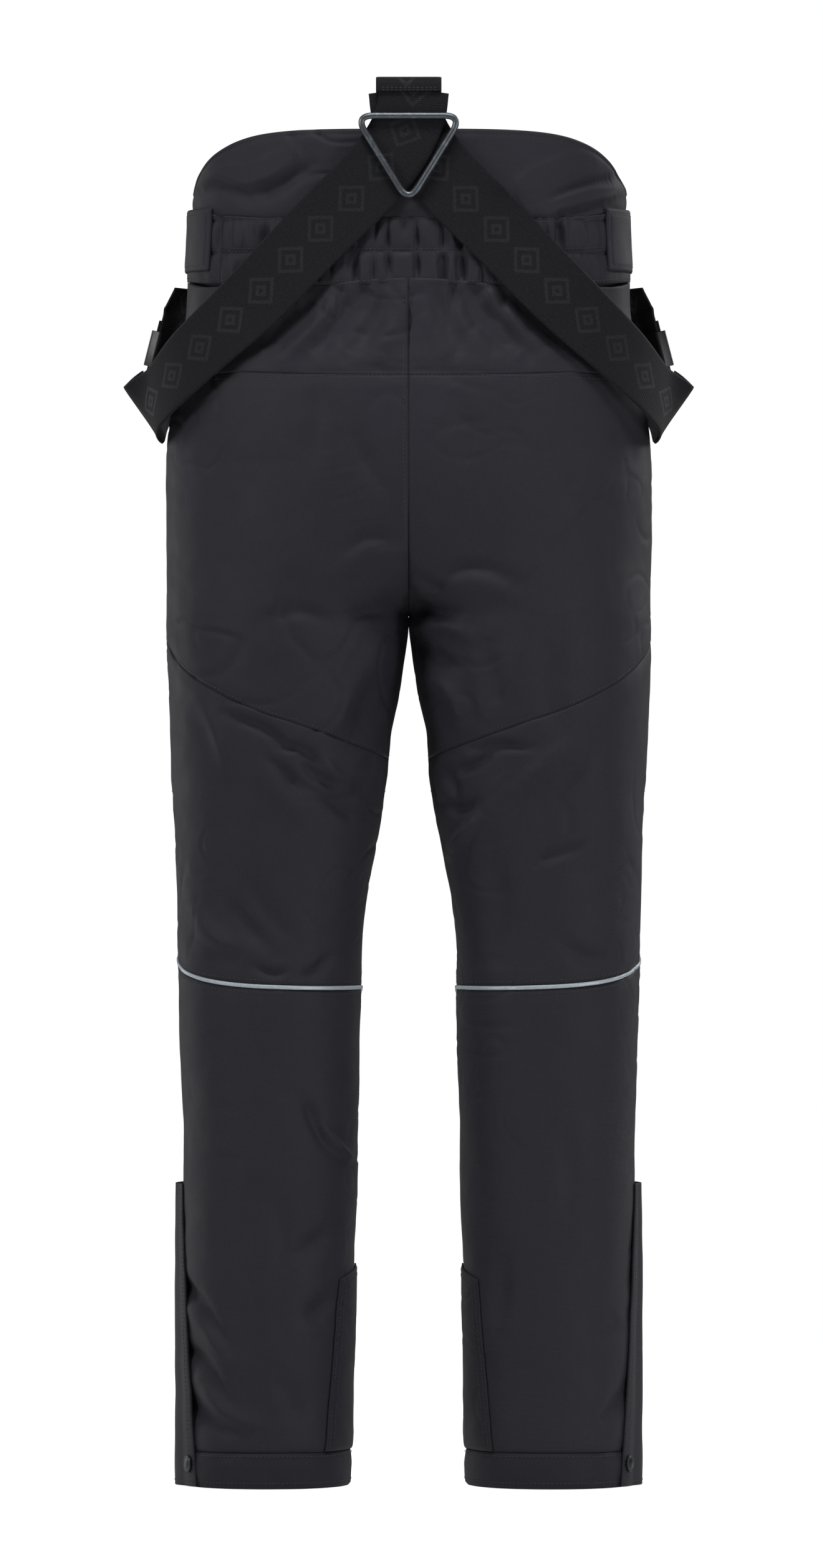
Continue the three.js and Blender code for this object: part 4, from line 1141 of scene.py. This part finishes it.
def ring_line(count):
    """Rounded triangle, point down, as (x, z) in mm."""
    round_off = 9.0
    reach = RING_WIDE / 2 - RING_ROD + round_off / 2
    top, tip = RING_TOP - RING_ROD, RING_TOP - RING_TALL + RING_ROD - round_off / 2
    corners = np.array([(-reach, top), (reach, top), (0, tip)])
    points = []
    for i in range(3):
        corner_at = corners[i]
        before = corners[i - 1] - corner_at
        after = corners[(i + 1) % 3] - corner_at
        enter = corner_at + before / np.linalg.norm(before) * 1.5 * round_off
        leave = corner_at + after / np.linalg.norm(after) * 1.5 * round_off
        for k in np.linspace(0, 1, 12):
            points.append((1 - k) ** 2 * enter + 2 * k * (1 - k) * corner_at + k * k * leave)
    points = np.array(points + points[:1])
    way = np.concatenate([[0], np.cumsum(np.linalg.norm(np.diff(points, axis=0), axis=1))])
    at = np.linspace(0, way[-1], count)
    return read_along(at, way, points)


def crossing_ring():
    around_count, sides_count = 220, 20
    centre = ring_line(around_count + 1)
    stops = range(around_count + 1)
    y = -(WAIST_BACK + LAYERS["left"] + WEB_THICK + 0.8 + RING_ROD)

    def place(u, v):
        i = u * around_count
        at = read_along(i, stops, centre)
        ahead = read_along((i + 0.5) % around_count, stops, centre)
        along = ahead - read_along((i - 0.5) % around_count, stops, centre)
        along /= np.linalg.norm(along, axis=1, keepdims=True)
        out = np.stack([along[:, 1], -along[:, 0]], -1)
        turn = 2 * math.pi * v
        flat = at + out * (RING_ROD * np.cos(turn))[:, None]
        return MM * np.stack([flat[:, 0], y + RING_ROD * np.sin(turn), flat[:, 1]], -1)

    bm = bmesh.new()
    bmesh.ops.create_grid(bm, x_segments=around_count, y_segments=sides_count, size=0.5)
    co = np.array([v.co for v in bm.verts]) + 0.5
    for vert, at in zip(bm.verts, place(co[:, 0], co[:, 1])):
        vert.co = at
    bmesh.ops.remove_doubles(bm, verts=bm.verts, dist=0.01 * MM)
    bmesh.ops.recalc_face_normals(bm, faces=bm.faces)
    return object_of(bm, "wire_crossing_ring", nickel_wire)


finish_piece(crossing_ring(), "ring", "coated_metal", ["crossing_ring"])


def snap_cap(name, at, out, radius, node, body):
    """Pressed cap with a rolled rim and a shallow dished middle."""
    profile = [  # share of the radius, height in mm
        (0, 0), (1, 0), (1.02, 0.5), (1, 1.0), (0.93, 1.4), (0.84, 1.35),
        (0.76, 1.2), (0.6, 1.5), (0.4, 1.85), (0.2, 2.05), (0, 2.1),
    ]
    bm = bmesh.new()
    verts = [bm.verts.new((share * radius * MM, 0, h * MM)) for share, h in profile]
    for a, b in zip(verts, verts[1:]):
        bm.edges.new((a, b))
    bmesh.ops.spin(
        bm, geom=bm.verts[:] + bm.edges[:], cent=(0, 0, 0), axis=(0, 0, 1), angle=2 * math.pi,
        steps=40, use_merge=True,
    )
    bmesh.ops.remove_doubles(bm, verts=bm.verts, dist=0.02 * MM)
    bmesh.ops.recalc_face_normals(bm, faces=bm.faces)
    turn = Vector((0, 0, 1)).rotation_difference(Vector(out)).to_matrix().to_4x4()
    bmesh.ops.transform(bm, matrix=Matrix.Translation(Vector(at)) @ turn, verts=bm.verts)
    piece = object_of(bm, name, coated_metal)
    finish_piece(piece, body, "coated_metal", [node])


SNAP_UP = 16.6  # mm from the hem up to a cuff snap
snap_angle = np.array([math.pi / 2 - 7.5 / WAIST])
at, out = shape(1, FRONT, snap_angle, np.array([-24.0]))
snap_cap("snap_waist", MM * (at + out * 3.9)[0], out[0], 7.5, "waist_snap_cap", "trousers")
for label, side in SIDES.items():
    v = SNAP_UP / FLAP_LENGTH
    at, out = shape(side, BACK, np.array([flap_angle(0.12, v)]), np.array([HEM_Z + SNAP_UP]))
    node, body = f"cuff_snap_cap_{label}", f"flap_{label}"
    snap_cap(f"snap_cuff_{label}", MM * (at + out * 3.2)[0], out[0], 6.0, node, body)


HARD_EDGE = 0.5  # radians between two faces


def softened(node, name, width, segments, material, slot, body):
    """A copy of a node's mesh with its hard edges rounded."""
    bm = bmesh.new()
    bm.from_mesh(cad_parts[node].data)
    bmesh.ops.remove_doubles(bm, verts=bm.verts, dist=0.002 * MM)
    bmesh.ops.dissolve_limit(bm, angle_limit=0.02, verts=bm.verts, edges=bm.edges)
    hard = [e for e in bm.edges if len(e.link_faces) == 2 and e.calc_face_angle(0) > HARD_EDGE]
    bmesh.ops.bevel(
        bm, geom=hard, offset=width * MM, offset_type="OFFSET", segments=segments, profile=0.5,
        affect="EDGES", clamp_overlap=True, material=-1,
    )
    bmesh.ops.triangulate(bm, faces=[f for f in bm.faces if len(f.verts) > 4])
    piece = object_of(bm, name, material)
    finish_piece(piece, body, slot, [node])


METAL, MOULDED = (coated_metal, "coated_metal"), (plastic, "moulded_plastic")
for zip_name, end in [("fly", "")] + [(z, f"_{label}") for z in ("pocket", "cuff") for label in SIDES]:
    name = zip_name + end
    softened(f"{name}_zip_slider", f"{name}_slider_cast", 0.3, 2, *METAL, f"{zip_name}_slider{end}")
    softened(f"{name}_zip_puller", f"{name}_puller_moulded", 0.22, 2, *MOULDED, f"{zip_name}_puller{end}")
for label in SIDES:
    name = f"adjuster_moulded_{label}"
    softened(f"brace_adjuster_{label}", name, 0.7, 3, *MOULDED, f"adjuster_{label}")


def fly_shield():
    """The strip of lining behind the fly zip."""
    low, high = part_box("fly_shield")
    wide, tall = high[0] - low[0], high[2] - low[2]

    def place(u, v):
        ripples = 0.2 * MM * ripple(u * wide / MM, 0 * u, v * tall / MM, 14, 3.3)
        edge = np.minimum(np.minimum(u, 1 - u) * wide, np.minimum(v, 1 - v) * tall) / MM
        y = high[1] + ripples - 0.3 * MM * (1 + np.exp(-edge / 0.8))
        return np.stack([low[0] + wide * u, y, low[2] + tall * v], -1)

    size = (wide, tall)
    piece = cloth_sheet(
        "cloth_fly_shield", (28, 90), place, size, lining_cloth, 0.8, lambda p: (0, 1, 0)
    )
    finish_piece(piece, "trousers", "lining_fabric", ["fly_shield"])


fly_shield()

# ------------------------------------------------------------------ zips
POCKET_OUT = 5.0  # mm that the pocket zip stands off the smooth body
POCKET_ANGLE = 0.8 * math.pi
TAPE_WIDE = 24.0
TOOTH_PITCH = 1.7


def zip_frames():
    """Each zip's name: its top end in mm, the ways across, outward and up, and its length."""
    up = np.array([0.0, 0, 1])
    fly_top = np.array([0, FRONT_DEPTH - 3.6, -BAND - 3])
    frames = {"fly": (fly_top, np.array([0.0, 1, 0]), up, 155.0)}
    for label, side in SIDES.items():
        ends, outs = shape(side, FRONT, np.array([POCKET_ANGLE] * 2), np.array([-64.0, -194.0]))
        top, low = ends[0] + outs[0] * POCKET_OUT, ends[1] + outs[1] * POCKET_OUT
        along = (top - low) / np.linalg.norm(top - low)
        frames[f"pocket_{label}"] = (top, outs[0] - along * (outs[0] @ along), along, 130.0)
        edge = np.array([side * (CUFF_OUTER - 5.2), 0, HEM_Z + 205])
        frames[f"cuff_{label}"] = (edge, np.array([float(side), 0, 0]), up, 204.0)
    return frames


def zip_tape(prefix, top, out, up, length):
    across = np.cross(out, up)

    def place(u, v):
        x = (u - 0.5) * TAPE_WIDE
        rib = 0.25 * np.exp(-(((np.abs(x) - 11.2) / 0.5) ** 2))
        flat = top + across * x[:, None] - up * (v * length)[:, None]
        return MM * (flat + out * (rib - 0.45)[:, None])

    size = (TAPE_WIDE * MM, length * MM)
    tape = cloth_sheet(
        f"tape_{prefix}_zip", (24, 60), place, size, zip_cloth, 0.9, lambda p: tuple(out)
    )
    finish_piece(tape, "trousers", "zip_tape", [f"{prefix}_zip_tape"])
    bm = bmesh.new()
    turn = Matrix((across, out, up)).transposed().to_4x4()
    tooth = Matrix.Diagonal((2.8 * MM, 0.8 * MM, 1.1 * MM, 1))
    for i in range(int((length - 12) / TOOTH_PITCH)):
        side_of = 1 if i % 2 else -1
        at = top + across * (1.1 * side_of) - up * (6 + i * TOOTH_PITCH) - out * 0.15
        bmesh.ops.create_cube(bm, size=1, matrix=Matrix.Translation(Vector(at * MM)) @ turn @ tooth)
    bmesh.ops.recalc_face_normals(bm, faces=bm.faces)
    teeth = object_of(bm, f"teeth_{prefix}_zip", plastic)
    finish_piece(teeth, "trousers", "moulded_plastic", [])


for prefix, (top, out, up, length) in zip_frames().items():
    zip_tape(prefix, top, out / np.linalg.norm(out), up, length)


def pocket_welt(side):
    """Padded edge that carries the pocket zip clear of the panel."""
    name = "left" if side < 0 else "right"
    top, out, up, length = zip_frames()[f"pocket_{name}"]
    across = np.cross(out, up)

    def place(u, v):
        x = (u - 0.5) * 40
        down = -7 + (length + 14) * v
        flat = top + across * x[:, None] - out * 1.55 - up * down[:, None]
        z = flat[:, 2]
        _, half = section(z)
        angle = POCKET_ANGLE + np.sign(across[0] * side) * x / half
        low = skin(side, FRONT, angle, z, 0.2) / MM
        ends = np.minimum(down + 7, length + 7 - down) / 6
        k = np.clip(np.minimum((20 - np.abs(x)) / 6.5, ends), 0, 1)
        return MM * (low + (flat - low) * smooth(k)[:, None])

    return place


for label, side in SIDES.items():
    welt = cloth_sheet(
        f"cloth_pocket_welt_{label}", (60, 120), pocket_welt(side), (0.042, 0.145), shell_cloth, 1.2,
        from_axis(side),
    )
    finish_piece(welt, "trousers", "shell_fabric", [])


# ------------------------------------------------------------------ stitches
STITCH, STITCH_PITCH, THREAD = 2.2, 3.1, 0.3  # mm
stitch_rows = {}


def one_stitch():
    bm = bmesh.new()
    size = Matrix.Diagonal((STITCH / 2 * MM, THREAD * MM, THREAD * 0.8 * MM, 1))
    bmesh.ops.create_icosphere(bm, subdivisions=1, radius=1, matrix=size)
    mesh = bpy.data.meshes.new("stitch")
    bm.to_mesh(mesh)
    bm.free()
    return mesh


stitch = one_stitch()


def sew(group, points, outs):
    """Lays stitches along a line of points, in metres, each facing its own way out."""
    points, outs = np.asarray(points), np.asarray(outs)
    step = np.linalg.norm(np.diff(points, axis=0), axis=1)
    way = np.concatenate([[0], np.cumsum(step)])
    count = int(way[-1] / (STITCH_PITCH * MM))
    at = (np.arange(count) + 0.5) * STITCH_PITCH * MM
    place, out = read_along(at, way, points), read_along(at, way, outs)
    bm = bmesh.new()
    for _ in place:
        bm.from_mesh(stitch)
    along = read_along(at + 0.5 * MM, way, points) - place
    along /= np.maximum(np.linalg.norm(along, axis=1, keepdims=True), 1e-9)
    out -= along * (out * along).sum(1, keepdims=True)
    out /= np.linalg.norm(out, axis=1, keepdims=True)
    turn = np.stack([along, np.cross(out, along), out], -1)
    flat = np.array([v.co for v in bm.verts]).reshape(count, -1, 3)
    at = place[:, None] + np.einsum("nij,nkj->nki", turn, flat)
    for vert, co in zip(bm.verts, at.reshape(-1, 3)):
        vert.co = co
    row = bpy.data.meshes.new("stitch_row")
    bm.to_mesh(row)
    bm.free()
    stitch_rows.setdefault(group, []).append(row)


def sew_skin(side, face, angle, z, lift=0.15):
    angle, z = np.broadcast_arrays(np.asarray(angle, float), np.asarray(z, float))
    _, out = shape(side, face, angle, z)
    sew("trousers", skin(side, face, angle, z, lift), out)


def sew_around(side, turn, z, lift=0.15):
    turn, z = np.broadcast_arrays(np.asarray(turn, float), np.asarray(z, float))
    _, back = shape(side, BACK, np.abs(turn), z)
    _, front = shape(side, FRONT, np.abs(turn), z)
    sew("trousers", around(side, turn, z, lift), np.where((turn < 0)[:, None], back, front))


def line(low, high, count=90):
    return np.linspace(low, high, count)


def sew_body():
    for side in SIDES.values():
        a = line(0.03, math.pi - 0.03)
        middle = line(math.pi / 2 + 0.012, math.pi - 0.03)
        sew_skin(side, BACK, middle, yoke_seam(middle) - 2.4)
        sew_skin(side, BACK, a, thigh_seam(a) + 2.6)
        for face in (BACK, FRONT):
            for off_piping in (4.6, -4.6):
                sew_skin(side, face, a, knee_seam(a, face) + off_piping)
        sew_skin(side, FRONT, a, front_knee_seam(a) + 2.6)
        turn = line(0.11 - math.pi, math.pi - 0.11, 160)
        sew_around(side, turn, HEM_Z + HEM_BAND - 2.6, 0.8)
        sew_around(side, turn, HEM_Z + 4.5, 0.6)
        for inset in (2.6, 6.6):
            share = line(inset / 134, 1, 70)
            for way in (-1, 1):
                half_turn = (0.27 - 0.07 * share) * math.pi - inset / 55
                z = HEM_Z + HEM_BAND + 0.4 + 123.6 * share - 0.08 * inset
                sew_around(side, way * half_turn, z, 1.95)
            reach = 0.2 * math.pi
            across = line(inset / 55 - reach, reach - inset / 55, 60)
            sew_around(side, across, HEM_Z + 160 - 10 * np.abs(across) / reach - inset, 1.95)
    z = line(CROTCH_Z + 12, -BAND - 5, 90)
    _, half = section(z)
    sew_skin(-1, BACK, seam_angle(z) + 2.6 / half, z)
    z = line(CROTCH_Z + 12, -BAND - 165, 40)
    _, half = section(z)
    sew_skin(1, FRONT, seam_angle(z) + 2.6 / half, z)
    z = line(-BAND - 158, -BAND - 3, 60)
    _, half = section(z)
    for side in SIDES.values():
        sew_skin(side, FRONT, seam_angle(z) + 9 / half, z)
    curve = 38 * np.sqrt(np.maximum(1 - ((z + BAND + 158) / 155 - 1) ** 8, 0)) + 1
    sew_skin(-1, FRONT, seam_angle(z) + curve / half, z)


def sew_waist():
    u = line(0.012, 0.988, 240)
    angle = high_back_angle(u)
    top, low = high_back_top(angle), high_back_low(angle)
    _, out = shape(1, BACK, angle, top)
    sew("trousers", high_back_skin(u, (top - 3.4 - low) / (top - low), 0.15), out)
    u = line(0.01, 0.99, 300)
    angle = back_band_angle(u)
    _, out = shape(1, BACK, angle, 0 * u)
    for share in (0.055, 0.49, 0.535, 0.945):
        sew("trousers", back_band_skin(u, 0 * u + share, 0.1), out)
    for side in SIDES.values():
        place = front_band(side, over=side == 1)
        u = line(0.02, 0.97, 120)
        angle = OVERLAP_START + 1.57 * u
        _, out = shape(side, FRONT, angle, 0 * u)
        for share in (0.07, 0.93):
            sew("trousers", place(u, 0 * u + share) + MM * 0.12 * out, out)


def sew_tabs_and_flaps():
    for label, side in SIDES.items():
        place = waist_tab(side)
        loop = [(0.06, 0.09), (0.93, 0.09), (0.965, 0.2), (0.965, 0.8), (0.93, 0.91), (0.06, 0.91)]
        corners_uv = np.array(loop)
        way = np.linspace(0, len(loop) - 1, 160)
        u = np.interp(way, range(len(loop)), corners_uv[:, 0])
        v = np.interp(way, range(len(loop)), corners_uv[:, 1])
        _, out = shape(side, BACK, tab_angle(u), 0 * u - 13)
        sew(f"tab_{label}", place(u, v) + MM * 0.1 * out, out)
        for edge in (2.6, 7.2):
            v = line(0.012, 0.99, 120)
            at, out = flap_point(side, 0 * v + edge / FLAP_WIDE, v, 0.12)
            sew(f"flap_{label}", at, out)
        u = line(0.04, 0.8, 40)
        at, out = flap_point(side, u, 0 * u + 0.015, 0.12)
        sew(f"flap_{label}", at, out)


def sew_loop():
    """Two rows across the centre loop, near its lower end."""
    middle, out, across = ribbon_frame(loop_stations(), RIBBON_POINTS)
    reach = LOOP_WIDTH / 2 - 3
    x = line(-reach, reach, 40)
    for share in (0.93, 0.98):
        k = int(share * (RIBBON_POINTS - 1))
        at = middle[k] + across[k] * x[:, None] + out[k] * (WEB_THICK + 0.15)
        sew("trousers", MM * at, np.repeat(out[k][None], len(x), 0))


sew_body()
sew_waist()
sew_tabs_and_flaps()
sew_loop()
for body, rows in stitch_rows.items():
    bm = bmesh.new()
    for row in rows:
        bm.from_mesh(row)
        bpy.data.meshes.remove(row)
    piece = object_of(bm, f"stitches_{body}", sewing_thread)
    finish_piece(piece, body, "shell_fabric", [])

# ------------------------------------------------------------------ light and floor
def area_light(name, place, aim, size, power):
    data = bpy.data.lights.new(name, "AREA")
    data.shape = "RECTANGLE"
    data.size, data.size_y = size
    data.energy = power
    light = bpy.data.objects.new(name, data)
    light.location = place
    light.rotation_euler = (Vector(aim) - Vector(place)).to_track_quat("-Z", "Y").to_euler()
    bpy.context.collection.objects.link(light)


area_light("key", (-1.9, -1.2, 0.5), (0, 0, -0.25), (0.5, 0.9), 20)
area_light("fill", (1.8, -1.5, -0.25), (0, 0, -0.25), (0.5, 0.9), 16)
area_light("top", (0.1, -0.8, 1.4), (0, 0, -0.4), (1.0, 0.4), 22)
area_light("front_key", (2.0, 1.6, 0.9), (0, 0, -0.4), (0.8, 1.4), 30)
area_light("front_fill", (-2.1, 1.6, 0.0), (0, 0, -0.45), (0.8, 1.6), 14)

world = bpy.data.worlds.new("studio")
world.use_nodes = True
bpy.context.scene.world = world
world_tree = world.node_tree
background = world_tree.nodes["Background"]
background.inputs["Color"].default_value = (1, 1, 1, 1)
seen = add(world_tree, "LightPath").outputs["Is Camera Ray"]
world_tree.links.new(spread(world_tree, seen, 0.07, 1.0), background.inputs["Strength"])

floor_bm = bmesh.new()
bmesh.ops.create_circle(floor_bm, cap_ends=True, segments=96, radius=2.0)
floor_material, floor_tree, floor_shader = new_material(
    "painted_studio_floor", Roughness=0.9, Emission_Color=(1, 1, 1, 1)
)
floor_seen = add(floor_tree, "LightPath").outputs["Is Camera Ray"]
floor_glow = spread(floor_tree, floor_seen, 0.05, 0.9)
floor_tree.links.new(floor_glow, floor_shader.inputs["Emission Strength"])
floor_grain = grain_of(floor_tree, add(floor_tree, "TexCoord").outputs["Object"], 60, 2.0)
floor_colour = blend_colours(floor_tree, floor_grain, "#f6f6f6", "#fbfbfb")
floor_tree.links.new(floor_colour, floor_shader.inputs["Base Color"])
floor = object_of(floor_bm, "studio_floor", floor_material)
floor.location.z = cad_box[0][2] - 0.5 * MM
